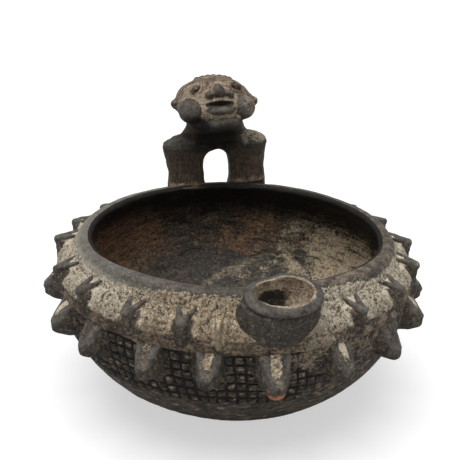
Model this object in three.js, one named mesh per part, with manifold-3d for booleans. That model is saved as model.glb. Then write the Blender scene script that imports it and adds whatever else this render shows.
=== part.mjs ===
// A hand-built ceramic bowl: four rings of clay, a spout on the shoulder, two rows of pinched points
// round the outside, and a handle in the form of a small figure that stands on the back of the rim.
// Every piece of clay that the potter shaped and luted on is a solid of its own.
// Millimetres, +Z up, the bowl's axis on Z, the table at z = 0. The figure stands at +Y, and the
// spout is at -Y. Angles round the bowl are degrees from -Y towards +X.
import * as THREE from "three";
import { ConvexGeometry } from "three/addons/geometries/ConvexGeometry.js";
import { mergeVertices } from "three/addons/utils/BufferGeometryUtils.js";
import Module from "manifold-3d";

const wasm = await Module();
wasm.setup();

// Fineness
const segments = 60; // facets round the bowl
const loftSides = 20; // facets round an arm, the neck or the head
const spoutSides = 32;
const jointGap = 0.3; // between two pieces that are luted together

// Bowl
const rimHeight = 151; // table to the top of the rim
const mouthRadius = 122; // inner edge of the rim
const rimWidth = 12;
const neckRadius = 138.5; // outside, where the rim ends and the shoulder starts
const neckDrop = 10; // below the top of the rim, as are the other drops
const ledgeRadius = 152.5; // the smooth band, which is the widest part of the clay wall
const ledgeTopDrop = 24;
const ledgeDrop = 39;
const ledgeStep = 1.5; // how far the band stands out from the incised belly under it
const beltDrop = 87; // foot of the incised belly
const baseRadius = 44; // flat that the bowl rests on
const wall = 10;
const floorThickness = 11;

// Pinched points
// The potter set the two rows by eye, so each point has an angle and a size of its own.
const spurs = [
  [-87, 1], [-61, 1], [-44.5, 1], [-24, 1.05], [-6.3, 1], [11.2, 1.03], [32, 1], [52.5, 1.03], [72, 1], [91, 1],
  [107.5, 1], [124, 1.02], [141, 0.97], [157, 1], [174, 1.03], [190.5, 1], [207, 0.97], [223.5, 1], [240.5, 1.03],
  [257, 1],
];
const bosses = [
  [-108, 1], [-92, 1], [-68, 1], [-50, 0.95], [-31, 1.05], [-14.5, 1], [-3.5, 0.45], [38.5, 0.95], [58, 1], [78, 1],
  [97, 1], [116, 1], [132, 0.95], [149, 1], [218, 1], [235, 0.95],
];
const spurTopDrop = 34.5;
const spurTipDrop = 60.5;
const spurFootDrop = 72;
const spurReach = 13; // past the ledge
const spurWidth = 27;
const bossDrop = 13.5;
const bossReach = 3.5; // past the ledge
const bossWidth = 22;
const bossLength = 14; // from the top edge down the front face

// Spout
const spoutAngle = 15.5;
const spoutTilt = 17; // outward lean of its mouth
const spoutOffset = 1; // from the outside of the neck to the middle of its mouth
const spoutRise = 3.5; // of that middle, above the rim
const spoutHalfWidth = 29.5;
const spoutHalfDepth = 24;
const spoutWall = 8.5;
const spoutDepth = 36; // from the mouth to where its foot closes in on the ledge
const lipThickness = 7.5;
const lipOverhang = 1;
const lipInset = 0.8; // how far the lip closes the bore in
const pourHoleDrop = 15; // from the rim to the middle of the hole through the bowl's wall
const pourHoleHalfWidth = 15;
const pourHoleHalfHeight = 8;
const pourHoleTilt = 68;

// Figure
const figureAngle = 8; // off the back, against the clock seen from above
const figureLean = 3.5; // to its right
const figureOffset = 3; // from the outside of the rim to the middle of the arms
const armSpacing = 30.5; // from the middle of the figure to the middle of a foot
const footHalfWidth = 19;
const waistHalfWidth = 17.3;
const armHalfDepth = 12;
const shoulderHeight = 42; // above the rim, as are the other heights of the figure
const shoulderHalfWidth = 52;
const archHeight = 32;
const chestHalfWidth = 17.5; // where the chest joins the arms
const neckBottom = 43;
const neckHalfWidth = 30;
const neckHalfDepth = 19;
const headHeight = 83;
const headForward = 14; // the head leans over the bowl
const headTilt = 20; // the face looks up
const headTurn = 3; // and a little to its left
const headHalfWidth = 34;
const headHalfDepth = 29;
const crownHeight = 23; // above the middle of the head
const chinDepth = 27; // below it
const headPower = 2.3;
const cheekRadius = 12.5;
const cheekX = 25;
const cheekZ = -9;
const earReach = 8;
const eyeHalfWidth = 8.5;
const eyeX = 20.5;
const eyeZ = 10.5;
const noseHalfWidth = 13.5;
const noseZ = 4;
const mouthHalfWidth = 14;
const mouthZ = -7.5;
const lipRadius = 3.8;
const crestKnobs = 7;
const crestKnobRadius = 3.4;
const crestHalfSpan = 17;

// Clay colours
const blackClay = { color: 0x2e2b29, roughness: 0.62, metalness: 0 };
const sootClay = { color: 0x3a3430, roughness: 0.72, metalness: 0 };
const tanCrust = { color: 0x6e5c48, roughness: 0.92, metalness: 0 };
const brownClay = { color: 0x4a3e35, roughness: 0.82, metalness: 0 };

const radians = THREE.MathUtils.degToRad;
const neckHeight = rimHeight - neckDrop;
const ledgeTopHeight = rimHeight - ledgeTopDrop;
const ledgeHeight = rimHeight - ledgeDrop;
const beltHeight = rimHeight - beltDrop;
const rimRadius = mouthRadius + rimWidth;
const spoutRadius = neckRadius + spoutOffset;
const figureRadius = rimRadius + figureOffset;
const bellyRadius = ledgeRadius - ledgeStep;
const bellyDepth = ledgeHeight / Math.sqrt(1 - (baseRadius / bellyRadius) ** 2);
const hollowRadius = bellyRadius - wall;
const hollowDepth = ledgeHeight - floorThickness;

// A solid for cutting and joining, from a closed three.js geometry.
function solidOf(geometry) {
  const bare = geometry.clone();
  bare.deleteAttribute("normal");
  bare.deleteAttribute("uv");
  const merged = mergeVertices(bare, 1e-4);
  return new wasm.Manifold(
    new wasm.Mesh({
      numProp: 3,
      vertProperties: merged.attributes.position.array,
      triVerts: new Uint32Array(merged.index.array),
    }),
  );
}

// The three.js mesh of a solid.
function meshOf(name, solid, finish) {
  const { vertProperties, triVerts } = solid.getMesh();
  const geometry = new THREE.BufferGeometry();
  geometry.setAttribute("position", new THREE.BufferAttribute(vertProperties, 3));
  geometry.setIndex(new THREE.BufferAttribute(triVerts, 1));
  geometry.computeVertexNormals();
  const mesh = new THREE.Mesh(geometry, new THREE.MeshStandardMaterial(finish));
  mesh.name = name;
  return mesh;
}

// An outline of [radius, height] pairs turned round the Z axis.
function turned(outline) {
  const points = outline.map(([r, z]) => new THREE.Vector2(r, z));
  const geometry = new THREE.LatheGeometry(points, segments);
  geometry.rotateX(Math.PI / 2);
  return solidOf(geometry);
}

// The same outline, pushed outwards by a distance. Points on the axis stay on it.
function grown(outline, distance) {
  const ring = outline.slice(0, -1);
  const moved = ring.map(([r, z], i) => {
    const [r0, z0] = ring[(i + ring.length - 1) % ring.length];
    const [r1, z1] = ring[(i + 1) % ring.length];
    const along = new THREE.Vector2(r1 - r0, z1 - z0).normalize();
    return [r === 0 ? 0 : r + along.y * distance, z - along.x * distance];
  });
  return [...moved, moved[0]];
}

// Points of the round lower body between two heights, as a quarter of an ellipse hung from the ledge.
function lowerCurve(radius, depth, from, to, steps) {
  const angleAt = (z) => Math.asin(Math.min(1, (ledgeHeight - z) / depth));
  const first = angleAt(from);
  const last = angleAt(to);
  return Array.from({ length: steps + 1 }, (_, i) => {
    const a = first + ((last - first) * i) / steps;
    return [radius * Math.cos(a), ledgeHeight - depth * Math.sin(a)];
  });
}

// A closed solid through a stack of rings with the same number of points.
function lofted(rings) {
  const sides = rings[0].length;
  const centre = (ring) => ring.reduce((sum, p) => sum.add(p), new THREE.Vector3()).divideScalar(sides);
  const points = [...rings.flat(), centre(rings[0]), centre(rings[rings.length - 1])];
  const foot = points.length - 2;
  const top = points.length - 1;
  const last = (rings.length - 1) * sides;
  const faces = [];
  for (let j = 0; j < sides; j++) {
    const next = (j + 1) % sides;
    for (let i = 0; i < rings.length - 1; i++) {
      const low = i * sides;
      const high = low + sides;
      faces.push(low + j, low + next, high + next, low + j, high + next, high + j);
    }
    faces.push(foot, next, j, top, last + j, last + next);
  }
  const geometry = new THREE.BufferGeometry().setFromPoints(points);
  geometry.setIndex(faces);
  return solidOf(geometry);
}

// A level oval ring of points for a loft. A power over 2 makes it squarer.
function oval(x, y, z, halfWidth, halfDepth, power = 2.4, sides = loftSides) {
  return Array.from({ length: sides }, (_, i) => {
    const a = (i / sides) * Math.PI * 2;
    const bend = (v) => Math.sign(v) * Math.abs(v) ** (2 / power);
    return new THREE.Vector3(x + halfWidth * bend(Math.cos(a)), y + halfDepth * bend(Math.sin(a)), z);
  });
}

// The convex solid round a list of [outward, sideways, height] points, mirrored from side to side.
function pinched(points) {
  const both = points.flatMap(([u, v, z]) => [new THREE.Vector3(v, -u, z), new THREE.Vector3(-v, -u, z)]);
  return solidOf(new ConvexGeometry(both));
}

// A ball squeezed to three half sizes.
function ball(halfX, halfY, halfZ, across = 16, down = 10) {
  const geometry = new THREE.SphereGeometry(1, across, down);
  geometry.scale(halfX, halfY, halfZ);
  return solidOf(geometry);
}

function block(x0, x1, y0, y1, z0, z1) {
  const geometry = new THREE.BoxGeometry(x1 - x0, y1 - y0, z1 - z0);
  geometry.translate((x0 + x1) / 2, (y0 + y1) / 2, (z0 + z1) / 2);
  return solidOf(geometry);
}

// Outlines of the four rings of the bowl, closed on themselves
const halfGap = jointGap / 2;
const baseOutline = [
  [0, 0],
  ...lowerCurve(bellyRadius, bellyDepth, 0, beltHeight - halfGap, 6),
  ...lowerCurve(hollowRadius, hollowDepth, beltHeight - halfGap, floorThickness, 5).slice(0, -1),
  [0, floorThickness],
  [0, 0],
];
const beltOuter = lowerCurve(bellyRadius, bellyDepth, beltHeight + halfGap, ledgeHeight - halfGap, 3);
const beltOutline = [
  ...beltOuter,
  ...lowerCurve(hollowRadius, hollowDepth, ledgeHeight - halfGap, beltHeight + halfGap, 3),
  beltOuter[0],
];
const shoulderOuter = [
  [bellyRadius, ledgeHeight + halfGap],
  [ledgeRadius, ledgeHeight + 3],
  [ledgeRadius + 0.4, (ledgeHeight + ledgeTopHeight) / 2],
  [ledgeRadius - 0.8, ledgeTopHeight],
  [ledgeRadius - 5.5, ledgeTopHeight + 5],
  [neckRadius + 1.5, neckHeight - 2.5],
  [neckRadius, neckHeight - halfGap],
];
const shoulderOutline = [
  ...shoulderOuter,
  [neckRadius - wall, neckHeight - halfGap],
  [(neckRadius + ledgeRadius) / 2 - wall - 1, (neckHeight + ledgeTopHeight) / 2],
  [ledgeRadius - wall - 3, ledgeTopHeight - 4],
  [hollowRadius, ledgeHeight + halfGap],
  shoulderOuter[0],
];
const rimOuter = [
  [neckRadius, neckHeight + halfGap],
  [rimRadius + 1.6, rimHeight - 5],
  [rimRadius, rimHeight - 2],
  [rimRadius - 2.5, rimHeight - 0.2],
  [mouthRadius + 3.5, rimHeight],
];
const rimOutline = [
  ...rimOuter,
  [mouthRadius + 0.8, rimHeight - 1],
  [mouthRadius, rimHeight - 3.5],
  [mouthRadius + 1.2, rimHeight - 6.5],
  [neckRadius - wall, neckHeight + halfGap],
  rimOuter[0],
];
// The outside of the whole bowl with its mouth filled in, which trims everything luted on outside
const bodyOutline = [
  [0, 0],
  ...lowerCurve(bellyRadius, bellyDepth, 0, beltHeight - halfGap, 6),
  ...beltOuter,
  ...shoulderOuter,
  ...rimOuter,
  [0, rimHeight],
  [0, 0],
];
const trimmer = turned(grown(bodyOutline, jointGap));

// The radius of the lower body at a height.
const bellyRadiusAt = (z) => bellyRadius * Math.sqrt(Math.max(0, 1 - ((ledgeHeight - z) / bellyDepth) ** 2));

// An oval barrel in the spout's own frame, centred on its mouth, through levels of
// [height, half width, half depth, shift towards the bowl].
const barrel = (levels) => lofted(levels.map(([z, w, d, back = 0]) => oval(0, back, z, w, d, 2, spoutSides)));

// Turns a solid from the spout's own frame into the bowl's.
function onShoulder(solid) {
  const leant = solid.rotate([spoutTilt, 0, 0]).translate([0, -spoutRadius, rimHeight + spoutRise]);
  return leant.rotate([0, 0, spoutAngle]);
}

function pourHole() {
  const hole = barrel([-2.5, 2.5].map((share) => [share * wall, pourHoleHalfWidth, pourHoleHalfHeight]));
  return hole
    .rotate([pourHoleTilt, 0, 0])
    .translate([0, -neckRadius, rimHeight - pourHoleDrop])
    .rotate([0, 0, spoutAngle]);
}

function bowlRings() {
  const rings = new THREE.Group();
  const cut = pourHole();
  rings.add(meshOf("base_bowl", turned(baseOutline), sootClay));
  rings.add(meshOf("belly_ring", turned(beltOutline), brownClay));
  rings.add(meshOf("shoulder_ring", turned(shoulderOutline).subtract(cut), tanCrust));
  rings.add(meshOf("rim_ring", turned(rimOutline).subtract(cut), blackClay));
  return rings;
}

function spout() {
  const group = new THREE.Group();
  const [w, d] = [spoutHalfWidth, spoutHalfDepth];
  const through = 20;
  const boreWidth = w - spoutWall;
  const boreDepth = d - spoutWall;
  const bore = barrel([[-2 * spoutDepth, boreWidth, boreDepth], [through, boreWidth, boreDepth]]);
  const outside = barrel([
    [-spoutDepth - 10, w * 0.6, d * 0.5, 6],
    [-spoutDepth, w * 0.9, d * 0.86, 3],
    [-spoutDepth * 0.8, w, d * 0.97, 0.8],
    [-spoutDepth * 0.5, w, d, 0],
    [-lipThickness - jointGap, w - 0.5, d - 0.5],
  ]);
  const lip = barrel([
    [-lipThickness, w, d],
    [-lipThickness * 0.6, w + lipOverhang, d + lipOverhang],
    [-1.8, w + lipOverhang * 0.5, d + lipOverhang * 0.5],
    [0, w - 3, d - 3],
  ]);
  const lipBore = barrel([
    [-2 * spoutDepth, boreWidth - lipInset, boreDepth - lipInset],
    [-2, boreWidth - lipInset, boreDepth - lipInset],
    [through, boreWidth + through, boreDepth + through],
  ]);
  group.add(meshOf("spout_tube", biggest(onShoulder(outside.subtract(bore)).subtract(trimmer)), blackClay));
  group.add(meshOf("spout_lip", biggest(onShoulder(lip.subtract(lipBore)).subtract(trimmer)), blackClay));
  return group;
}

// The largest separate body of a solid, which drops slivers that a cut leaves behind.
function biggest(solid) {
  return solid.decompose().reduce((a, b) => (b.volume() > a.volume() ? b : a));
}

// A spur of the lower row: a thorn that leaves the belly under the ledge and points out and down.
function spurSolid(size) {
  const top = rimHeight - spurTopDrop;
  const tip = rimHeight - spurTipDrop;
  const foot = rimHeight - spurFootDrop;
  const middle = (top + tip) / 2;
  const half = (spurWidth / 2) * size;
  const reach = spurReach * size;
  const sunk = wall * 0.4;
  return pinched([
    [bellyRadiusAt(ledgeHeight) - sunk, half * 0.5, top],
    [ledgeRadius + reach * 0.3, half * 0.24, top - (top - tip) * 0.12],
    [ledgeRadius + reach * 0.62, half * 0.42, middle],
    [bellyRadiusAt(tip) - sunk, half, middle],
    [ledgeRadius + reach * 0.94, half * 0.26, tip + (top - tip) * 0.15],
    [ledgeRadius + reach, half * 0.14, tip],
    [ledgeRadius + reach * 0.88, half * 0.12, tip - (tip - foot) * 0.35],
    [bellyRadiusAt(foot) - sunk, half * 0.62, foot],
  ]);
}

// A boss of the upper row: a short tooth with a level top and a steep front, on the shoulder's edge.
function bossSolid(size) {
  const top = rimHeight - bossDrop;
  const half = (bossWidth / 2) * size;
  const length = bossLength * size;
  const reach = ledgeRadius + bossReach * size;
  const root = ledgeRadius - wall * 0.6;
  return pinched([
    [neckRadius, half * 0.7, top],
    [neckRadius, half * 0.7, (top + neckHeight) / 2],
    [reach - length * 0.12, half * 0.25, top],
    [reach, half * 0.22, top - length * 0.3],
    [ledgeRadius + bossReach * 0.36, half, top - length],
    [root, half, top - length],
  ]);
}

function pinchedPoints() {
  const group = new THREE.Group();
  const rows = [
    ["spur", spurs, spurSolid, blackClay],
    ["boss", bosses, bossSolid, brownClay],
  ];
  for (const [label, row, shape, finish] of rows) {
    row.forEach(([angle, size], i) => {
      const point = shape(size).rotate([0, 0, angle]).subtract(trimmer);
      group.add(meshOf(`${label}_${String(i + 1).padStart(2, "0")}`, biggest(point), finish));
    });
  }
  return group;
}

// The head in its own frame, where the face looks along -Y and +Z is the crown. Each level is a height,
// how far back its middle is, and its half width and half depth as shares of the whole head's.
const headLevels = [
  [-chinDepth, -9, 0.42, 0.36],
  [-chinDepth * 0.92, -8, 0.6, 0.6],
  [-chinDepth * 0.68, -5.5, 0.72, 0.78],
  [-chinDepth * 0.32, -2.5, 0.88, 0.92],
  [0, 0, 1, 1],
  [crownHeight * 0.36, 1, 1, 1],
  [crownHeight * 0.68, 2.5, 0.88, 0.88],
  [crownHeight * 0.9, 4, 0.62, 0.62],
  [crownHeight, 4.5, 0.32, 0.34],
];

const headSolid = () =>
  lofted(headLevels.map(([z, y, w, d]) => oval(0, y, z, w * headHalfWidth, d * headHalfDepth, headPower)));

// Where the front of the head is, as a Y in its own frame.
function faceAt(x, z) {
  const above = headLevels.findIndex((level) => level[0] > z);
  const [low, high] = [headLevels[above - 1], headLevels[above]];
  const share = (z - low[0]) / (high[0] - low[0]);
  const [, y, w, d] = low.map((value, i) => value + (high[i] - value) * share);
  const across = Math.min(1, Math.abs(x) / (w * headHalfWidth));
  return y - d * headHalfDepth * (1 - across ** headPower) ** (1 / headPower);
}

// The convex solid round a list of points.
const hull = (points) => solidOf(new ConvexGeometry(points.map((p) => new THREE.Vector3(...p))));

function earSolid(s) {
  const root = headHalfWidth - 5;
  const tip = headHalfWidth + earReach;
  return hull([
    [s * root, -10, -9], [s * root, 9, -8], [s * root, -8, 10], [s * root, 10, 9],
    [s * (headHalfWidth + 1), -8, -6], [s * (headHalfWidth + 1), 8, 8],
    [s * tip, -3, -0.5], [s * (tip - 1), 2, 3],
  ]);
}

function noseSolid() {
  const front = faceAt(0, noseZ);
  const w = noseHalfWidth;
  return hull([
    [-w, front + 5, noseZ - 3], [w, front + 5, noseZ - 3],
    [-w * 0.9, front - 1.5, noseZ - 3], [w * 0.9, front - 1.5, noseZ - 3],
    [-w * 0.8, front + 4, noseZ + 4], [w * 0.8, front + 4, noseZ + 4],
    [-3.4, front - 6.5, noseZ - 1], [3.4, front - 6.5, noseZ - 1],
    [-3, front + 5, noseZ + 13], [3, front + 5, noseZ + 13],
  ]);
}

// A lip: half a thick rope of clay that arches away from the parting of the mouth.
function lipSolid(up) {
  const side = up ? 1 : -1;
  const cornerY = faceAt(mouthHalfWidth, mouthZ) + 1;
  const rope = new THREE.QuadraticBezierCurve3(
    new THREE.Vector3(-mouthHalfWidth, cornerY, mouthZ + side * 1.5),
    new THREE.Vector3(0, 2 * faceAt(0, mouthZ) - cornerY - 2, mouthZ + side * 7),
    new THREE.Vector3(mouthHalfWidth, cornerY, mouthZ + side * 1.5),
  );
  const section = new THREE.Shape();
  section.absellipse(0, 0, lipRadius, lipRadius, 0, Math.PI * 2);
  const roll = solidOf(new THREE.ExtrudeGeometry(section, { extrudePath: rope, steps: 6, curveSegments: 5 }));
  const parting = mouthZ + (side * jointGap) / 2;
  return roll.intersect(up ? block(-40, 40, -80, 0, parting, parting + 40) : block(-40, 40, -80, 0, parting - 40, parting));
}

// The comb of small knobs from side to side over the crown, joined by a low ridge.
function crestSolid() {
  const height = (x) => crownHeight + 0.8 - (x / crestHalfSpan) ** 2 * 2.2;
  const knobs = Array.from({ length: crestKnobs }, (_, i) => {
    const x = crestHalfSpan * ((i / (crestKnobs - 1)) * 2 - 1);
    return ball(crestKnobRadius, crestKnobRadius, crestKnobRadius, 8, 6).translate([x, 0, height(x)]);
  });
  const ridge = hull(
    [-1, -0.5, 0, 0.5, 1].flatMap((share) => {
      const x = share * crestHalfSpan;
      return [[x, -2.4, height(x)], [x, 2.4, height(x)], [x, -3, height(x) - 5], [x, 3, height(x) - 5]];
    }),
  );
  return knobs.reduce((all, knob) => all.add(knob), ridge);
}

// Everything on the head, in the head's frame. Each piece is trimmed to the head and to those before it.
function faceParts(head) {
  const spare = cheekRadius + jointGap + 0.1;
  const trims = [head];
  const parts = [];
  const add = (name, solid, finish, keepClear) => {
    parts.push(meshOf(name, biggest(trims.reduce((left, trim) => left.subtract(trim), solid)), finish));
    if (keepClear) {
      trims.push(keepClear);
    }
  };
  for (const [side, s] of [["left", -1], ["right", 1]]) {
    const cheekAt = [s * cheekX, faceAt(cheekX, cheekZ) - 2.5, cheekZ];
    const cheek = ball(cheekRadius, cheekRadius, cheekRadius, 14, 10).translate(cheekAt);
    add(`${side}_cheek`, cheek, blackClay, ball(spare, spare, spare, 14, 10).translate(cheekAt));
  }
  for (const [side, s] of [["left", -1], ["right", 1]]) {
    const eye = ball(eyeHalfWidth, 5, 4.8, 12, 8).rotate([-12, 0, s * 30]);
    add(`${side}_eye`, eye.translate([s * eyeX, faceAt(eyeX, eyeZ) + 0.5, eyeZ]), blackClay);
    add(`${side}_ear`, earSolid(s), brownClay);
  }
  const nose = noseSolid();
  const [grow, front] = [1.05, faceAt(0, noseZ)];
  const around = nose.translate([0, -front, -noseZ]).scale([grow, grow, grow * 1.05]).translate([0, front, noseZ]);
  add("nose", nose, brownClay, around);
  add("upper_lip", lipSolid(true), brownClay);
  add("lower_lip", lipSolid(false), brownClay);
  add("hair_crest", crestSolid(), brownClay);
  return parts;
}

// The arms, chest and neck are one flowing form that is parted where its pieces of clay meet.
function figureBody() {
  const outer = shoulderHalfWidth;
  const arm = (s) => {
    const level = (share, inner, outerEdge, halfDepth, back = 0) =>
      oval((s * (inner + outerEdge)) / 2, back, share, (outerEdge - inner) / 2, halfDepth);
    const foot = armSpacing - footHalfWidth;
    return lofted([
      level(-20, foot - 1, armSpacing + footHalfWidth + 1, armHalfDepth + 2),
      level(0, foot, armSpacing + footHalfWidth, armHalfDepth + 1),
      level(shoulderHeight * 0.35, armSpacing - waistHalfWidth, armSpacing + waistHalfWidth, armHalfDepth - 1),
      level(shoulderHeight * 0.65, armSpacing - waistHalfWidth + 1, outer - 2.5, armHalfDepth),
      level(shoulderHeight * 0.84, armSpacing - waistHalfWidth - 3, outer, armHalfDepth + 1),
      level(shoulderHeight * 0.95, armSpacing - waistHalfWidth - 6, outer - 2.5, armHalfDepth - 0.5),
      level(shoulderHeight, armSpacing - waistHalfWidth - 4, outer - 9, armHalfDepth - 5),
    ]);
  };
  const sections = [-1, -0.75, -0.35, 0, 0.35, 0.75, 1].map((along) => {
    const x = along * (armSpacing + 4);
    const under = archHeight - 9 * along * along - 5 * along ** 4;
    const over = shoulderHeight + 8 * (1 - along * along) - 3 * Math.abs(along);
    const middle = (under + over) / 2;
    return oval(0, 0, 0, (over - under) / 2, armHalfDepth + 1).map((p) => new THREE.Vector3(x, p.y, middle - p.x));
  });
  const yoke = lofted(sections);
  const neck = lofted([
    oval(0, 0, shoulderHeight - 8, neckHalfWidth + 5, armHalfDepth),
    oval(0, -2, shoulderHeight + 1, neckHalfWidth + 3, armHalfDepth + 2),
    oval(0, -6, shoulderHeight + 9, neckHalfWidth, neckHalfDepth - 3),
    oval(0, -10, shoulderHeight + 18, neckHalfWidth - 1, neckHalfDepth),
    oval(0, -13, shoulderHeight + 30, neckHalfWidth - 3, neckHalfDepth),
  ]);
  return arm(-1).add(arm(1)).add(yoke).add(neck);
}

function figure() {
  const group = new THREE.Group();
  const seat = trimmer
    .rotate([0, 0, -figureAngle])
    .translate([0, -figureRadius, -rimHeight])
    .rotate([0, figureLean, 0]);
  const head = headSolid();
  const swollen = head.scale([1.011, 1.013, 1.014]);
  const intoFigure = (solid) => solid.rotate([-headTilt, 0, headTurn]).translate([0, -headForward, headHeight]);
  const body = figureBody().subtract(seat).subtract(intoFigure(swollen));
  const half = chestHalfWidth;
  const chestFloor = archHeight - 4;
  const chestSpace = block(-half, half, -60, 60, chestFloor, neckBottom - jointGap / 2);
  const neckSpace = block(-60, 60, -60, 60, neckBottom + jointGap / 2, 200);
  const armSpace = block(-half - jointGap, half + jointGap, -60, 60, chestFloor - jointGap, 200);
  const aboveArms = block(-80, 80, -60, 60, neckBottom - jointGap / 2, 200);
  const arms = body.subtract(armSpace).subtract(aboveArms);
  for (const [name, x] of [["left_arm", -1], ["right_arm", 1]]) {
    const side = x < 0 ? block(-90, 0, -70, 70, -60, 100) : block(0, 90, -70, 70, -60, 100);
    group.add(meshOf(name, biggest(arms.intersect(side)), sootClay));
  }
  group.add(meshOf("chest", biggest(body.intersect(chestSpace)), sootClay));
  group.add(meshOf("neck", biggest(body.intersect(neckSpace)), blackClay));
  const headGroup = new THREE.Group();
  headGroup.add(meshOf("head", head, brownClay));
  faceParts(swollen).forEach((part) => headGroup.add(part));
  headGroup.rotation.set(radians(-headTilt), 0, radians(headTurn), "ZYX");
  headGroup.position.set(0, -headForward, headHeight);
  group.add(headGroup);
  group.position.set(0, figureRadius, rimHeight);
  group.rotation.y = radians(-figureLean);
  const turnedGroup = new THREE.Group();
  turnedGroup.add(group);
  turnedGroup.rotation.z = radians(figureAngle);
  return turnedGroup;
}

const bowl = new THREE.Group();
bowl.add(bowlRings(), spout(), pinchedPoints(), figure());

export default bowl;
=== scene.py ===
"""A hand-built, smoke-blackened clay bowl with a spout, two rows of pinched points and a figure as handle.

Lengths are in millimetres until Blender is given them, and the bowl's axis is Z. Angles round the bowl are
degrees from -Y, where the camera stands, towards +X.
"""

import math

import bmesh
import bpy
import numpy as np
from mathutils import Euler, Matrix, Vector


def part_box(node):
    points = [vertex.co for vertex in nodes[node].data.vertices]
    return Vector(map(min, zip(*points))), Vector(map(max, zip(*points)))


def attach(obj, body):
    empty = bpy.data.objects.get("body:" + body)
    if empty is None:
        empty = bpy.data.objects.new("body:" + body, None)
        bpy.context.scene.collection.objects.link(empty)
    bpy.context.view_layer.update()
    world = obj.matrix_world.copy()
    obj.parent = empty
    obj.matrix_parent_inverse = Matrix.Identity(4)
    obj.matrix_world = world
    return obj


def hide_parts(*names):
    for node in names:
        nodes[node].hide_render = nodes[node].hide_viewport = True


MM = 0.001

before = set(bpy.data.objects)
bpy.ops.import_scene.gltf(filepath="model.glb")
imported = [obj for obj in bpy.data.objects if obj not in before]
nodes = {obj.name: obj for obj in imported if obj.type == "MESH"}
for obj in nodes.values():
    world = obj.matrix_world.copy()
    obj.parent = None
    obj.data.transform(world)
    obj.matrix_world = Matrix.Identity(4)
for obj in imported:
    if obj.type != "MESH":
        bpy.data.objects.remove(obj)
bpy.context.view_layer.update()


def corners(name):
    """The lowest and highest corner of a CAD node, in millimetres."""
    low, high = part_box(name)
    return np.array(low) / MM, np.array(high) / MM


def reach(name, below=1e9, pick=max):
    """The largest, or another pick, of the distances from the bowl's axis to a node's vertices."""
    return pick(math.hypot(v.co.x, v.co.y) / MM for v in nodes[name].data.vertices if v.co.z / MM < below)


# The bowl's own sizes, read from the frame
RIM = corners("rim_ring")[1][2]
NECK = corners("rim_ring")[0][2]
LEDGE = corners("shoulder_ring")[0][2]
BELT = corners("belly_ring")[0][2]
MOUTH_RADIUS = reach("rim_ring", pick=min)
NECK_RADIUS = reach("rim_ring")
LEDGE_RADIUS = reach("shoulder_ring")
BELLY_RADIUS = reach("belly_ring")
BASE_RADIUS = reach("base_bowl", below=0.1)
LEDGE_TOP = RIM - 24.0
WALL = 10.0
FLOOR = 11.0

# Camera
CAMERA_RAISE = 21.6
CAMERA_DISTANCE = 776.0
CAMERA_ROLL = 1.5
FOCAL_LENGTH = 70.4
SENSOR = 36.0
FRAME_PIXELS = 460
RIM_CENTRE_PIXEL = (235.5, 230.0)


def added(name, data):
    """A new object in the scene."""
    made = bpy.data.objects.new(name, data)
    bpy.context.scene.collection.objects.link(made)
    return made


def make_camera():
    """The camera of the photograph, looking down at the middle of the rim."""
    data = bpy.data.cameras.new("camera")
    data.lens = FOCAL_LENGTH
    data.sensor_width = SENSOR
    data.shift_x = (FRAME_PIXELS / 2 - RIM_CENTRE_PIXEL[0]) / FRAME_PIXELS
    data.shift_y = (RIM_CENTRE_PIXEL[1] - FRAME_PIXELS / 2) / FRAME_PIXELS
    data.clip_start = 0.01
    camera = added("camera", data)
    raise_angle = math.radians(CAMERA_RAISE)
    back = Vector((0, -math.cos(raise_angle), math.sin(raise_angle)))
    camera.location = (Vector((0, 0, RIM)) + back * CAMERA_DISTANCE) * MM
    look = (-back).to_track_quat("-Z", "Y").to_matrix()
    roll = Matrix.Rotation(math.radians(CAMERA_ROLL), 3, "Z")
    camera.rotation_euler = (look @ roll).to_euler()
    bpy.context.scene.camera = camera


make_camera()


# Node trees: sockets that take arithmetic, one way to add any other node, and what is often built of them
class Wire:
    """A socket of a node tree. Arithmetic on it adds Math nodes."""

    def __init__(self, plan, socket):
        self.plan = plan
        self.socket = socket

    def __add__(self, other):
        return self.plan.math("ADD", self, other)

    def __sub__(self, other):
        return self.plan.math("SUBTRACT", self, other)

    def __rsub__(self, other):
        return self.plan.math("SUBTRACT", other, self)

    def __mul__(self, other):
        return self.plan.math("MULTIPLY", self, other)

    def __truediv__(self, other):
        return self.plan.math("DIVIDE", self, other)

    def __neg__(self):
        return self * -1.0

    def __abs__(self):
        return self.plan.math("ABSOLUTE", self)

    __radd__ = __add__
    __rmul__ = __mul__


class Plan:
    """A node tree of a material or of a modifier."""

    def __init__(self, tree):
        self.tree = tree

    def node(self, kind, settings=None, inputs=None, output=0):
        """Adds a node, sets it up, fills its sockets with values or wires, and gives one output."""
        made = self.tree.nodes.new(kind)
        for key, value in (settings or {}).items():
            setattr(made, key, value)
        for key, value in (inputs or {}).items():
            if isinstance(value, Wire):
                self.tree.links.new(value.socket, made.inputs[key])
            else:
                made.inputs[key].default_value = value
        return Wire(self, made.outputs[output]) if len(made.outputs) else None

    def math(self, operation, *values):
        return self.node("ShaderNodeMath", {"operation": operation}, dict(enumerate(values)))

    def vector(self, x, y, z):
        return self.node("ShaderNodeCombineXYZ", inputs={"X": x, "Y": y, "Z": z})


def emptied(owner):
    """The node tree of a material or a world, without the nodes that it starts with."""
    owner.use_nodes = True
    owner.node_tree.nodes.clear()
    return Plan(owner.node_tree)


def least(a, b):
    return a.plan.math("MINIMUM", a, b)


def most(a, b):
    return a.plan.math("MAXIMUM", a, b)


def ramp(value, low, high):
    """0 below low and 1 above high, smooth between. With low above high it falls instead."""
    inputs = {"Value": value, "From Min": low, "From Max": high}
    return value.plan.node("ShaderNodeMapRange", {"interpolation_type": "SMOOTHSTEP"}, inputs)


def band(value, low, high, soft):
    """1 between low and high, fading to 0 over a width outside them."""
    return ramp(value, low - soft, low) * ramp(value, high + soft, high)


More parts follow.
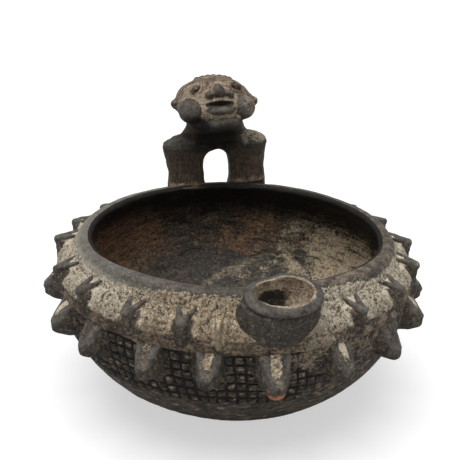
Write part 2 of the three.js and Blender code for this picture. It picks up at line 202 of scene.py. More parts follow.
def mix(factor, a, b):
    """A colour between two colours."""
    settings = {"data_type": "RGBA", "clamp_factor": True}
    return factor.plan.node("ShaderNodeMix", settings, {0: factor, 6: a, 7: b}, 2)


def scaled(vector, amount):
    return vector.plan.node("ShaderNodeVectorMath", {"operation": "SCALE"}, {0: vector, "Scale": amount})


def grain(vector, size, detail=2.0, roughness=0.5, distortion=0.0):
    """Noise about 0, mostly between -1 and 1, with features of a size in millimetres."""
    inputs = {"Vector": vector, "Scale": 1.0 / size, "Detail": detail, "Roughness": roughness}
    noise = vector.plan.node("ShaderNodeTexNoise", inputs={**inputs, "Distortion": distortion})
    return (noise - 0.5) * 4.0


class Where:
    """Where a point is on the bowl, in millimetres and degrees, in a tree of either kind."""

    def __init__(self, plan, position):
        self.plan = plan
        self.at = scaled(position, 1.0 / MM)
        split = plan.node("ShaderNodeSeparateXYZ", inputs={0: self.at}).socket.node
        self.x, self.y, self.z = (Wire(plan, out) for out in split.outputs)
        self.radius = plan.math("SQRT", self.x * self.x + self.y * self.y)
        self.angle = plan.math("ARCTAN2", self.x, -self.y) * (180.0 / math.pi)
        # Grain on these runs in streaks round the bowl, as the turns of the clay do
        self.turns = self.stretched(0.16)

    def stretched(self, level, upright=1.0):
        """The place with its axes scaled. Grain on it is drawn out where the scale is small."""
        return self.plan.vector(self.x * level, self.y * level, self.z * upright)

    def grain(self, *shape):
        return grain(self.at, *shape)

    def cells(self, size):
        """The distance to the nearest of scattered points that lie about a size apart."""
        inputs = {"Vector": self.at, "Scale": 1.0 / size}
        return self.plan.node("ShaderNodeTexVoronoi", inputs=inputs, output="Distance")

    def carried(self, key):
        """A number that the finished piece carries on its points, for its material."""
        return self.plan.node("ShaderNodeAttribute", {"attribute_name": key}, output="Fac")


# Wall of the bowl, as the path that its section takes
ARC_POINTS = 40


def quarter(radius, depth, low, high):
    """Points of the round lower wall between two heights, from the lower one up."""
    first, last = (math.asin(min(1.0, (LEDGE - z) / depth)) for z in (low, high))
    turn = np.linspace(first, last, ARC_POINTS)
    return [(radius * math.cos(a), LEDGE - depth * math.sin(a)) for a in turn]


BELLY_DEPTH = LEDGE / math.sqrt(1 - (BASE_RADIUS / BELLY_RADIUS) ** 2)
HOLLOW_RADIUS = BELLY_RADIUS - WALL
HOLLOW_DEPTH = LEDGE - FLOOR
RIM_RADIUS = NECK_RADIUS - 4.5

OUTSIDE = np.array(
    [(0, 0), (BASE_RADIUS - 3, 0)]
    + quarter(BELLY_RADIUS, BELLY_DEPTH, 1.0, LEDGE - 1)
    + [
        (LEDGE_RADIUS - 0.6, LEDGE + 3),
        (LEDGE_RADIUS, LEDGE + 7.5),
        (LEDGE_RADIUS - 0.7, LEDGE_TOP - 1.5),
        (LEDGE_RADIUS - 2.4, LEDGE_TOP + 2),
        (LEDGE_RADIUS - 6.5, LEDGE_TOP + 6),
        (NECK_RADIUS + 1.6, NECK - 2.5),
        (NECK_RADIUS - 0.6, NECK + 0.5),
        (RIM_RADIUS + 2.2, RIM - 5),
        (RIM_RADIUS + 0.6, RIM - 2.4),
        (RIM_RADIUS - 1.6, RIM - 0.6),
        (RIM_RADIUS - 5.5, RIM),
    ]
)
INSIDE = np.array(
    [(0, FLOOR)]
    + quarter(HOLLOW_RADIUS, HOLLOW_DEPTH, FLOOR, LEDGE)[1:]
    + [
        (LEDGE_RADIUS - WALL - 2, LEDGE_TOP - 6),
        (LEDGE_RADIUS - WALL - 5, LEDGE_TOP + 2),
        (NECK_RADIUS - WALL + 1.5, NECK - 3),
        (MOUTH_RADIUS + 3, RIM - 8),
        (MOUTH_RADIUS + 0.6, RIM - 5),
        (MOUTH_RADIUS, RIM - 3),
        (MOUTH_RADIUS + 1, RIM - 0.9),
        (MOUTH_RADIUS + 4, RIM),
    ]
)


def rounded(path, times=2):
    """The path with its corners cut, so that it runs smoothly."""
    for _ in range(times):
        first, second = path[:-1], path[1:]
        cut = np.stack([first * 0.75 + second * 0.25, first * 0.25 + second * 0.75], 1)
        path = np.concatenate([path[:1], cut.reshape(-1, path.shape[1]), path[-1:]])
    return path


SMOOTH_OUTSIDE = rounded(OUTSIDE)
SMOOTH_INSIDE = rounded(INSIDE)
SEAMS = (BELT, LEDGE, NECK)


def course(path, spacings, level):
    """The rows of points that one ring has on a rising path, and the way out of the path at each."""
    along = np.concatenate([[0], np.cumsum(np.linalg.norm(np.diff(path, axis=0), axis=1))])
    marks = [0, *np.interp(SEAMS, path[:, 1], along), along[-1]]
    rows = [0.0]
    seams = [0]
    for start, end, spacing in zip(marks, marks[1:], spacings):
        rows.extend(np.linspace(start, end, max(2, round((end - start) / spacing)) + 1)[1:])
        seams.append(len(rows) - 1)
    points = np.stack([np.interp(rows, along, path[:, k]) for k in (0, 1)], 1)
    slope = np.gradient(points, rows, axis=0)
    away = np.stack([slope[:, 1], -slope[:, 0]], 1)
    away = away / np.linalg.norm(away, axis=1)[:, None]
    ring = slice(seams[level], seams[level + 1] + 1)
    return points[ring], away[ring]


def wall_distance(x, y, z):
    """How far a point is outside the bowl with its mouth filled in, less than 0 inside it."""
    heights, radii = SMOOTH_OUTSIDE[:, 1], SMOOTH_OUTSIDE[:, 0]
    radius = np.interp(z, heights, radii)
    slope = (np.interp(z + 1, heights, radii) - np.interp(z - 1, heights, radii)) / 2
    side = (np.hypot(x, y) - radius) / np.sqrt(1 + slope**2)
    return np.maximum(side, z - RIM)


# Meshes
def mesh_object(name, points, faces, attributes=None):
    """A smooth-shaded object from points in millimetres, with named numbers on its points."""
    data = bpy.data.meshes.new(name)
    data.from_pydata((np.asarray(points) * MM).tolist(), [], np.asarray(faces).tolist())
    for key, values in (attributes or {}).items():
        kind = "FLOAT_VECTOR" if np.ndim(values) == 2 else "FLOAT"
        layer = data.attributes.new(key, kind, "POINT")
        layer.data.foreach_set("vector" if kind == "FLOAT_VECTOR" else "value", np.ravel(values))
    data.shade_smooth()
    return added(name, data)


def plain(target):
    """Turns what the object's modifiers make into its plain mesh."""
    evaluated = target.evaluated_get(bpy.context.evaluated_depsgraph_get())
    data = bpy.data.meshes.new_from_object(evaluated)
    target.modifiers.clear()
    target.data = data
    return target


def hand_in(piece, slot, *names):
    """Puts a finished piece on the bowl's one body, in the place of CAD nodes."""
    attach(piece, "root")
    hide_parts(*names)


# The four rings of the wall
OUTER_SPACING = (2.0, 0.85, 0.75, 1.0)
INNER_SPACING = (3.2, 2.4, 1.8, 1.0)
COLUMNS = (600, 1080, 1200, 900)
GRID_COLUMNS = 118
GRID_ROW = 8.1
SHARP_ANGLE = math.radians(50)


def ring_mesh(name, level):
    """One of the rings, counted from the lowest, with the way out of the clay on its points."""
    outer, outer_away = course(SMOOTH_OUTSIDE, OUTER_SPACING, level)
    inner, inner_away = (rows[::-1] for rows in course(SMOOTH_INSIDE, INNER_SPACING, level))
    seam = np.zeros((1, 2))
    top = np.array([[0, 1.0]]) if level == len(SEAMS) else seam
    path = [outer, (outer[-1:] + inner[:1]) / 2, inner]
    away = [outer_away, top, -inner_away]
    if level:
        path.append((inner[-1:] + outer[:1]) / 2)
        away.append(seam)
    path, away = np.concatenate(path), np.concatenate(away)
    count = len(path)
    columns = COLUMNS[level]
    turn = np.radians(np.arange(columns) * 360.0 / columns)
    sine, cosine = np.sin(turn)[:, None], -np.cos(turn)[:, None]

    def swept(rows):
        """The rows of a section, carried round the bowl's axis."""
        around = [sine * rows[:, 0], cosine * rows[:, 0], np.tile(rows[:, 1], (columns, 1))]
        return np.stack(around, 2).reshape(-1, 3)

    start = np.arange(columns)[:, None] * count
    after = (start + count) % (columns * count)
    row = np.arange(count if level else count - 1)[None]
    below = (row + 1) % count
    faces = np.stack([start + row, after + row, after + below, start + below], 2)
    inside = (np.arange(count) > len(outer)).astype(float)
    attributes = {"push": swept(away), "inside": np.tile(inside, columns)}
    made = mesh_object(name, swept(path), faces.reshape(-1, 4), attributes)
    closed = bmesh.new()
    closed.from_mesh(made.data)
    bmesh.ops.remove_doubles(closed, verts=closed.verts, dist=1e-6)
    bmesh.ops.recalc_face_normals(closed, faces=closed.faces)
    for edge in closed.edges:
        edge.smooth = edge.calc_face_angle(0.0) < SHARP_ANGLE
    closed.to_mesh(made.data)
    closed.free()
    return made


RELIEF = {
    "Unevenness": 0.35,
    "Crust height": 0.95,
    "Pit depth": 1.3,
    "Groove depth": 1.8,
    "Groove width": 1.75,
    "Turn marks": 0.22,
    "Rim rise": 5.0,
}
CRUST_ABOVE_NECK = 4.5
CRUST_HIGHER_IN_FRONT = 6.5


def surface(where, inside, asked):
    """How far the clay stands out at a place, and the parts of that which its material asks for."""
    outside = 1.0 - inside
    uneven = where.grain(48.0, 1.0) * asked["Unevenness"] + where.grain(13.0) * 0.18

    # Crust on the shoulder, spatters of it on the belly, and pits in both
    in_front = ramp(abs(where.angle - 8.0), 52.0, 24.0)
    ragged = where.grain(9.0, 4.0, 0.7) * 2.4
    crust_top = in_front * CRUST_HIGHER_IN_FRONT + (NECK + CRUST_ABOVE_NECK)
    crust = ramp(where.z + ragged, crust_top + 3.0, crust_top - 3.0) * outside
    crust = crust * ramp(where.z + ragged * 0.5, LEDGE_TOP - 3.5, LEDGE_TOP - 0.5)
    patch = where.grain(11.0, 5.0, 0.75) + band(where.angle, 20.0, 100.0, 32.0) * 0.4
    spatter = ramp(patch, 0.1, 0.7) * ramp(where.z, BELT + 6.0, LEDGE + 4.0) * outside
    spatter = spatter * ramp(where.z, LEDGE_TOP + 2.0, LEDGE_TOP - 2.0) * 0.7
    rough = most(crust, spatter)
    smooth = 1.0 - rough
    nubs = where.grain(3.0, 4.0, 0.7, 1.0)
    pits = ramp(where.cells(3.4), 0.5, 0.15) * ramp(where.grain(5.0), -0.3, 0.4)
    crusted = nubs * asked["Crust height"] + 0.2 - pits * asked["Pit depth"]

    # The ledge's upper edge, pinched out in places
    brow = band(where.z + where.grain(16.0) * 0.9, LEDGE_TOP - 2.4, LEDGE_TOP - 1.0, 1.6) * outside
    brow = brow * ramp(where.grain(20.0), -0.9, 0.1)

    # The incised grid, with what it leaves between the grooves a little swollen
    across = where.angle * (GRID_COLUMNS / 360.0) + where.grain(14.0) * 0.14 + where.z * 0.012
    down = (where.z - LEDGE) / GRID_ROW + 0.55 + where.grain(20.0) * 0.15
    pitch = 2.0 * math.pi * BELLY_RADIUS / GRID_COLUMNS
    grid = ((across, pitch), (down, GRID_ROW))
    lanes = [abs(where.plan.math("FRACT", lane) - 0.5) * apart for lane, apart in grid]
    width = asked["Groove width"] * (1.0 + where.grain(6.0) * 0.3)
    lines = [ramp(lane, width, width * 0.3) for lane in lanes]
    kept = ramp(where.grain(26.0) * 0.6 - band(where.angle, 34.0, 70.0, 20.0), -0.9, -0.2)
    incised = band(where.z, BELT + 1.0, LEDGE + 0.5, 1.2) * outside * (kept * 0.85 + 0.15)
    groove = most(*lines) * incised
    pillow = least(*lanes) * incised * 0.14

    # Scratches on the outside below the neck, turn marks inside and on the base, and the finest grain
    scratch = grain(where.stretched(0.35), 2.8, 4.0, 0.7) * ramp(where.z, NECK + 6.0, NECK - 2.0) * outside
    brushed = ramp(where.z, BELT + 3.0, BELT - 3.0) * outside
    marks = grain(where.turns, 2.2, 3.0, 0.6) * asked["Turn marks"] * most(inside, brushed)
    height = uneven + rough * crusted + brow * 0.7 + marks + where.grain(2.2) * 0.08
    height = height + pillow + smooth * scratch * 0.3 - groove * asked["Groove depth"] * (1.0 - rough * 0.3)
    seen = {"crust": rough, "pit": pits * rough, "groove": groove, "brow": brow}
    seen["grit"] = rough * nubs + smooth * scratch
    # The foot stays flat
    return height * ramp(where.z, 0.0, 4.0), seen


def relief_tree(outer_material, inner_material):
    """Moves a ring's points to the clay's surface and gives its outside and inside their materials."""
    tree = bpy.data.node_groups.new("clay_relief", "GeometryNodeTree")
    tree.interface.new_socket("Geometry", in_out="INPUT", socket_type="NodeSocketGeometry")
    for key, value in RELIEF.items():
        socket = tree.interface.new_socket(key, in_out="INPUT", socket_type="NodeSocketFloat")
        socket.default_value = value
    tree.interface.new_socket("Geometry", in_out="OUTPUT", socket_type="NodeSocketGeometry")
    plan = Plan(tree)
    given = tree.nodes.new("NodeGroupInput")
    asked = {socket.name: Wire(plan, socket) for socket in given.outputs if socket.name}

    def named(key, kind="FLOAT"):
        return plan.node("GeometryNodeInputNamedAttribute", {"data_type": kind}, {"Name": key})

    where = Where(plan, plan.node("GeometryNodeInputPosition"))
    inside = named("inside")
    height, seen = surface(where, inside, asked)
    pushed = scaled(named("push", "FLOAT_VECTOR"), height)
    rise = ramp(where.z, LEDGE_TOP, RIM) * ramp(-where.y, 20.0, 125.0) * asked["Rim rise"]
    lifted = {0: pushed, 1: plan.vector(0.0, 0.0, rise)}
    moved = plan.node("ShaderNodeVectorMath", {"operation": "ADD"}, lifted)
    inputs = {"Geometry": asked["Geometry"], "Offset": scaled(moved, MM)}
    shape = plan.node("GeometryNodeSetPosition", inputs=inputs)
    settings = {"data_type": "FLOAT", "domain": "POINT"}
    for key, value in seen.items():
        inputs = {"Geometry": shape, "Name": key, "Value": value}
        shape = plan.node("GeometryNodeStoreNamedAttribute", settings, inputs)
    shape = plan.node("GeometryNodeRealizeInstances", inputs={"Geometry": shape})
    shape = plan.node("GeometryNodeSetMaterial", inputs={"Geometry": shape, "Material": outer_material})
    within = plan.node("FunctionNodeCompare", {"operation": "GREATER_THAN"}, {0: inside, 1: 0.5})
    inputs = {"Geometry": shape, "Selection": within, "Material": inner_material}
    shape = plan.node("GeometryNodeSetMaterial", inputs=inputs)
    plan.node("NodeGroupOutput", inputs={0: shape})
    return tree


def wall_ring(name, level, outer_material, inner_material, values):
    """A ring with its relief. Values are those of the relief's inputs that differ on this ring."""
    ring = ring_mesh(name + "_clay", level)
    ring.data.materials.append(outer_material)
    ring.data.materials.append(inner_material)
    modifier = ring.modifiers.new("relief", "NODES")
    modifier.node_group = relief_tree(outer_material, inner_material)
    identifiers = {item.name: item.identifier for item in modifier.node_group.interface.items_tree}
    for key, value in values.items():
        modifier[identifiers[key]] = value
    return plain(ring)


# Sculpted clay: fields that are below 0 inside a form, and the skin round them
def soft_min(a, b, length):
    """Joins two forms, with clay smoothed into the crease over a length."""
    share = np.clip(0.5 + 0.5 * (b - a) / length, 0, 1)
    return b + (a - b) * share - length * share * (1 - share)


def soft_max(a, b, length):
    return -soft_min(-a, -b, length)


def from_centre(p, centre):
    return [p[k] - centre[k] for k in range(3)]


def norm(q):
    return np.sqrt(sum(part**2 for part in q))


def ball(p, centre, radius):
    return norm(from_centre(p, centre)) - radius


def egg(p, centre, radii):
    """An ellipsoid."""
    q = from_centre(p, centre)
    near = norm(part / radius for part, radius in zip(q, radii))
    far = norm(part / radius**2 for part, radius in zip(q, radii))
    return near * (near - 1) / np.maximum(far, 1e-6)


def roll(p, start, end, radius, end_radius=None):
    """A roll of clay between two points, which may taper."""
    end_radius = radius if end_radius is None else end_radius
    span = np.array(end, float) - np.array(start, float)
    share = sum((p[k] - start[k]) * span[k] for k in range(3)) / (span @ span)
    share = np.clip(share, 0, 1)
    gap = norm(p[k] - start[k] - share * span[k] for k in range(3))
    return gap - radius - (end_radius - radius) * share


def roll_pair(p, start, end, radius, end_radius):
    """A roll of clay and its mirror image in x."""
    ends = [[(side * x, y, z) for x, y, z in (start, end)] for side in (-1, 1)]
    return np.minimum(*[roll(p, *pair, radius, end_radius) for pair in ends])


def coil(p, points, radius):
    """A roll of clay along several points."""
    return np.minimum.reduce([roll(p, a, b, radius) for a, b in zip(points, points[1:])])


def stack(p, levels, power=2.3):
    """A form given by levels: height, middle in x and y, half width and half depth."""
    levels = np.array(levels, float)
    middle_x, middle_y, wide, deep = (np.interp(p[2], levels[:, 0], levels[:, k]) for k in (1, 2, 3, 4))
    across, along = np.abs((p[0] - middle_x) / wide), np.abs((p[1] - middle_y) / deep)
    side = ((across**power + along**power) ** (1 / power) - 1) * np.minimum(wide, deep)
    return np.maximum(side, np.maximum(levels[0, 0] - p[2], p[2] - levels[-1, 0]))


def turned(p, origin, angles):
    """Points seen from a frame at an origin, turned by angles in degrees."""
    matrix = np.array(Euler([math.radians(a) for a in angles]).to_matrix())
    q = from_centre(p, origin)
    return [sum(matrix[j, k] * q[j] for j in range(3)) for k in range(3)]


def swung(x, y, degrees):
    """Two coordinates seen from a frame that is turned by an angle, from the first towards the second."""
    angle = math.radians(degrees)
    return x * math.cos(angle) + y * math.sin(angle), -x * math.sin(angle) + y * math.cos(angle)


PRIMES = (73856093, 19349663, 83492791)


def lumpy(p, size, seed):
    """Smooth noise between -1 and 1, from values hashed at the corners of cells, the same on every run."""
    q = [np.asarray(p[k]) / size + seed * (17.3 + 5.1 * k) for k in range(3)]
    whole = [np.floor(v).astype(np.int64) for v in q]
    part = [v - w for v, w in zip(q, whole)]
    ease = [t * t * (3 - 2 * t) for t in part]
    total = 0
    for corner in np.ndindex(2, 2, 2):
        mixed = sum((whole[k] + corner[k]) * prime for k, prime in enumerate(PRIMES))
        mixed = (mixed ^ (mixed >> 13)) * 1274126177
        value = (((mixed ^ (mixed >> 16)) & 65535) / 32767.5) - 1
        share = np.prod([ease[k] if corner[k] else 1 - ease[k] for k in range(3)], axis=0)
        total = total + value * share
    return total


def mottled(points, coarse, fine, seed):
    """Two sizes of smooth noise at the points of a skin."""
    return lumpy(points.T, coarse, seed) + 0.6 * lumpy(points.T, fine, seed + 1)


CORNERS = np.array(list(np.ndindex(2, 2, 2)))
EDGES = [(a, b) for a in range(8) for b in range(a + 1, 8) if np.abs(CORNERS[a] - CORNERS[b]).sum() == 1]


def skin(values, low, voxel):
    """Points and quads round the zero level of a field on a grid, a point in each cell that it crosses."""
    values = np.pad(values, 1, constant_values=voxel)
    low = np.asarray(low, float) - voxel
    shape = np.array(values.shape) - 1
    corner = np.stack([values[i : i + shape[0], j : j + shape[1], k : k + shape[2]] for i, j, k in CORNERS])
    below = corner < 0
    crossed = below.any(0) & ~below.all(0)
    index = np.full(crossed.shape, -1)
    index[crossed] = np.arange(crossed.sum())
    at = corner[:, crossed]
    total = np.zeros((at.shape[1], 3))
    count = np.zeros(at.shape[1])
    for a, b in EDGES:
        cut = (at[a] < 0) != (at[b] < 0)
        share = at[a][cut] / (at[a][cut] - at[b][cut])
        total[cut] += CORNERS[a] + share[:, None] * (CORNERS[b] - CORNERS[a])
        count[cut] += 1
    points = low + (np.argwhere(crossed) + total / count[:, None]) * voxel
    quads = []
    for axis in range(3):
        u, v = (axis + 1) % 3, (axis + 2) % 3
        start = np.moveaxis(values, axis, 0)[:-1]
        end = np.moveaxis(values, axis, 0)[1:]
        change = np.moveaxis((start < 0) != (end < 0), 0, axis)
        rising = np.moveaxis(start < 0, 0, axis)
        cells = np.argwhere(change)
        keep = (cells[:, u] > 0) & (cells[:, v] > 0) & (cells[:, u] < shape[u]) & (cells[:, v] < shape[v])
        cells = cells[keep]
        up = rising[tuple(cells.T)]
        loop = []
        for du, dv in ((1, 1), (0, 1), (0, 0), (1, 0)):
            near = cells.copy()
            near[:, u] -= du
            near[:, v] -= dv
            loop.append(index[tuple(near.T)])
        face = np.stack(loop, 1)
        face[~up] = face[~up][:, ::-1]
        quads.append(face)
    return points, np.concatenate(quads)


def sample(field, low, high, voxel):
    """The skin of a field over a box."""
    axes = [np.arange(low[k], high[k] + voxel, voxel, dtype=np.float32) for k in range(3)]
    grid = np.meshgrid(*axes, indexing="ij")
    return skin(field(grid), low, voxel)


def ways_out(points, faces):
    """The way out of a skin at each of its points, from the faces round it."""
    across = np.cross(points[faces[:, 2]] - points[faces[:, 0]], points[faces[:, 3]] - points[faces[:, 1]])
    total = np.zeros_like(points)
    for k in range(4):
        np.add.at(total, faces[:, k], across)
    return total / np.maximum(np.linalg.norm(total, axis=1), 1e-9)[:, None]


def eased(value, low, high):
    """0 below low and 1 above high, smooth between. With low above high it falls instead."""
    share = np.clip((value - low) / (high - low), 0, 1)
    return share * share * (3 - 2 * share)


# What sculpted clay carries on its points, and how thick it is where a skin is cut into pieces
CARRIED = ("dust", "rub_and_highlight", "soot", "chip", "warm")
SHELL = 1.2

# How far the wall's surface is lowered for a fillet, and how deep luted clay reaches into the wall
SINK = 1.3
BURIED = 4.5


def shell_piece(name, points, faces, carried, material, out):
    """An object from some faces of a skin. A cut skin gets a thickness and a rim, so that it is closed."""
    used, inverse = np.unique(faces, return_inverse=True)
    faces = inverse.reshape(faces.shape)
    points, out = points[used], out[used]
    count = len(points)
    carried = {key: carried[key][used] if key in carried else np.zeros(count) for key in CARRIED}
    sides = np.concatenate([faces[:, [k, (k + 1) % 4]] for k in range(4)])
    forward = sides @ (count, 1)
    backward = sides @ (1, count)
    rim = sides[~np.isin(forward, backward)]
    if len(rim):
        wall = np.stack([rim[:, 1], rim[:, 0], rim[:, 0] + count, rim[:, 1] + count], 1)
        faces = np.concatenate([faces, faces[:, ::-1] + count, wall])
        points = np.concatenate([points, points - out * SHELL])
        carried = {key: np.tile(values, 2) for key, values in carried.items()}
    made = mesh_object(name, points, faces, carried)
    ends = np.empty(len(made.data.edges) * 2, int)
    made.data.edges.foreach_get("vertices", ends)
    ends = np.sort(ends.reshape(-1, 2), 1)
    sharp = np.isin(ends @ (len(points), 1), np.sort(rim, 1) @ (len(points), 1))
    made.data.attributes.new("sharp_edge", "BOOLEAN", "EDGE").data.foreach_set("value", sharp)
    made.data.materials.append(material)
    return made


# Spurs and bosses
SPUR_WIDTH = 27.0
BOSS_WIDTH = 22.0
DROOP = 5.0
CHIPPED_ANGLE = 11.2
CHIPPED_TURN = 0.6
CHIPPED_LARGER = 1.2
CHIPPED_DROOP = 2.5
SMALL = 0.7
BOSS_SEEDS = 40

# Each section of a point: its distance from the bowl's axis, its top and foot below the rim, its half width
SPUR_SECTIONS = (
    (LEDGE_RADIUS - 16, 33.5, 69, 13.5),
    (LEDGE_RADIUS - 4, 34.5, 66.5, 13),
    (LEDGE_RADIUS + 2, 37.5, 65, 12),
    (LEDGE_RADIUS + 7, 42.0, 63, 9.4),
    (LEDGE_RADIUS + 10.5, 47.5, 61.2, 6.6),
    (LEDGE_RADIUS + 12.6, 52.5, 59.5, 3.6),
)
BOSS_SECTIONS = (
    (NECK_RADIUS - 3, 8.6, 31, 10.6),
    (NECK_RADIUS + 4, 10.8, 31, 9.4),
    (LEDGE_RADIUS - 3, 13.6, 30, 6.2),
    (LEDGE_RADIUS + 1, 14.6, 28, 4.0),
    (LEDGE_RADIUS + 3.2, 15.6, 22, 2.2),
)


class Point:
    """A spur or a boss: where it stands, and what sets it apart from its neighbours."""

    def __init__(self, name, usual_width):
        self.name = name
        self.is_spur = name.startswith("spur")
        self.seed = int(name[-2:]) + (0 if self.is_spur else BOSS_SEEDS)
        self.openness = math.sin(self.seed * 1.3 + 0.6)
        vertices = np.array([v.co for v in nodes[name].data.vertices]) / MM
        radii = np.hypot(vertices[:, 0], vertices[:, 1])
        middle = vertices[radii > radii.max() - 2].mean(0)
        self.angle = math.atan2(middle[0], -middle[1])
        across = vertices[:, 0] * math.cos(self.angle) + vertices[:, 1] * math.sin(self.angle)
        self.size = np.ptp(across) / usual_width
        degrees = math.degrees(self.angle)
        # The spurs beside the spout hang lower, most of all the one with the chipped tip
        self.droop = DROOP * eased(degrees, 2, 11) * eased(degrees, 80, 56)
        self.chipped = abs(degrees - CHIPPED_ANGLE) < 2
        if self.chipped:
            self.angle += math.radians(CHIPPED_TURN)
            self.size *= CHIPPED_LARGER
            self.droop += CHIPPED_DROOP


def out_and_down(x, out, down):
    """A place in a point's frame, so far out from the ledge and so far down from the rim."""
    return x, LEDGE_RADIUS + out, RIM - down


def section_stack(p, sections, power):
    """A form from sections that follow one another away from the bowl."""
    x, away, z = p
    levels = [(out, 0, RIM - (top + foot) / 2, wide, (foot - top) / 2) for out, top, foot, wide in sections]
    return stack((x, z, away), levels, power)


def spur_form(p, point):
    """A thorn like a folded leaf, and its ridges and channel. x is sideways, y away from the bowl, z up."""
    x, away, z = p
    z = z + point.droop * np.clip((away - LEDGE_RADIUS + 6) / 16, 0, 1)
    sway = math.sin(point.seed * 2.1)
    shallow = 1 - (0.55 + 0.45 * point.openness)
    x = (x - 0.8 * sway * np.clip((away - LEDGE_RADIUS) / 12, 0, 1)) / point.size
    p = (x, away, z)
    form = section_stack(p, SPUR_SECTIONS, 2.2)
    channel = roll(p, out_and_down(0, 1, 32), out_and_down(0.5 * sway, 12, 48), 5.6, 2.3)
    form = soft_max(form, -(channel + shallow * 3.5), 1.8)
    ridges = roll_pair(p, out_and_down(9.3, -1, 38.5), out_and_down(2.8, 11, 51.5), 3.1, 2.9)
    return soft_min(form, ridges + shallow * 1.2, 2.2), ridges, channel


def boss_form(p, point):
    """A tooth with a level three-cornered top and a steep front, and its ridges. It has no channel."""
    x, away, z = p
    x = (x - 0.7 * math.sin(point.seed * 1.7)) / point.size
    p = (x, away, z - 0.5 * math.sin(point.seed * 2.9))
    form = section_stack(p, BOSS_SECTIONS, 3.4)
    ridges = roll_pair(p, (6.8, NECK_RADIUS, RIM - 8.2), out_and_down(0, 1.8, 14.6), 1.0, 3.5)
    spine = roll(p, out_and_down(0, 0.9, 17), out_and_down(0, -2.0, 29), 2.4, 5.5)
    flanks = roll_pair(p, (9.5, NECK_RADIUS + 5, RIM - 17), out_and_down(9, -2.5, 27), 3.6, 3.8)
    form = soft_min(soft_min(form, spine, 2.0), flanks, 2.5)
    return soft_min(form, ridges, 1.5), ridges, None


def dust_on_point(point, points, level, mottle, ridges, channel):
    """Dust where a point meets the shoulder, in a spur's channel and on the flat parts of a boss."""
    x, away, z = points.T
    skirt = eased(wall_distance(x, -away, z) + mottle * 0.4, 1.2, 0.1)
    skirt = skirt * eased(z, LEDGE_TOP - 4, LEDGE_TOP + 3)
    if point.is_spur:
        filled = eased(channel + mottle * 0.8, 1.2, -0.6) * eased(level, -0.1, 0.4)
        filled = filled * eased(point.openness, -0.9, 0.1)
        filled = filled * (0.35 + 0.65 * eased(away, LEDGE_RADIUS + 11, LEDGE_RADIUS + 4))
    else:
        face = eased(np.abs(x / point.size) + mottle, 10.0, 6.5) * eased(z, RIM - 12, RIM - 15)
        filled = eased(ridges + mottle * 0.3, 0.1, 0.9) * (1 - face * 0.7)
        filled = filled * eased(z, LEDGE_TOP - 3, LEDGE_TOP + 2)
    # The small points have nearly gone under the crust
    if point.size < SMALL:
        filled = np.maximum(filled, 0.75)
    return np.maximum(skirt, filled)


def pinched_point(point, material, form, low, high, fillet, slot, voxel):
    """A point of clay that is smoothed into the wall, from a form in its own frame."""
    seed = point.seed
    sine, cosine = math.sin(point.angle), math.cos(point.angle)

    def field(p):
        x, away, z = p
        world = (x * cosine + away * sine, x * sine - away * cosine, z)
        body = wall_distance(*world)
        worked = form(p, point)[0] + 0.4 * lumpy(world, 5.0, seed) + 0.16 * lumpy(world, 1.9, seed + 3)
        joined = soft_min(worked, body + SINK, fillet)
        return np.maximum.reduce([joined, worked - fillet * 1.7, -(body + BURIED)])

    points, faces = sample(field, low, high, voxel)
    out = ways_out(points, faces)
    level = out[:, 2]
    _, ridges, channel = form(points.T, point)
    mottle = mottled(points, 2.6, 1.3, seed)
    carried = {
        "dust": dust_on_point(point, points, level, mottle, ridges, channel),
        # Ridges painted lighter where they face up: rubbing wear, and painted highlight
        "rub_and_highlight": eased(ridges, 1.6, 0.2) * eased(level, -0.5, 0.3),
        # Painted shade on the faces that look down
        "soot": eased(level, -0.3, -1.0) * 0.6,
    }
    if point.chipped:
        tip = eased(points[:, 1], LEDGE_RADIUS + 4, LEDGE_RADIUS + 7)
        carried["chip"] = tip * eased(points[:, 2] + mottle, RIM - 63, RIM - 65.5)
    turn = np.array([[cosine, sine, 0], [sine, -cosine, 0], [0, 0, 1]])
    points, out = points @ turn.T, out @ turn.T
    # The frame of a point is a mirrored one, so its faces are turned round in the world
    piece = shell_piece(point.name + "_clay", points, faces[:, ::-1], carried, material, out)
    hand_in(piece, slot, point.name)


# Spout
SPOUT_ANGLE = 15.5
SPOUT_TILT = 17.0
SPOUT_RADIUS = NECK_RADIUS + 1.0
SPOUT_RISE = 7.0
SPOUT_HALF_WIDTH = 31.0
SPOUT_HALF_DEPTH = 24.0
SPOUT_WALL = 8.7
SPOUT_VOXEL = 0.75
CUT_WIDER = 1.4
CUT_VOXEL = 1.6
SPOUT_MIDDLE = swung(0, -SPOUT_RADIUS, -SPOUT_ANGLE)
LIP = 5.8

# Height along the axis, how far the wall is inside the widest section, and how far it bulges to the left
SPOUT_PROFILE = (
    (1.0, 9.0, 0),
    (0.0, 7.8, 0),
    (-0.8, 4.4, 0),
    (-2.4, 1.4, 0),
    (-4.2, 0.6, 0),
    (-5.2, 1.0, 0),
    (-6.2, 3.0, 0),
    (-7.2, 1.6, 0.4),
    (-10.0, 0.0, 1.5),
    (-18.0, -1.6, 3.2),
    (-29.0, -2.0, 4.2),
    (-38.0, -0.5, 4.0),
    (-44.0, 3.0, 3.0),
    (-52.0, 12.0, 2.0),
)
SPOUT_LEVELS = [
    (z, -0.8 - left, 0, SPOUT_HALF_WIDTH - inset, SPOUT_HALF_DEPTH - inset - left * 0.4)
    for z, inset, left in SPOUT_PROFILE[::-1]
]


def spout_frame(p):
    """Points seen from the middle of the spout's mouth, with z along its axis."""
    mouth = (0, -SPOUT_RADIUS, RIM + SPOUT_RISE)
    return turned((*swung(p[0], p[1], SPOUT_ANGLE), p[2]), mouth, (SPOUT_TILT, 0, 0))


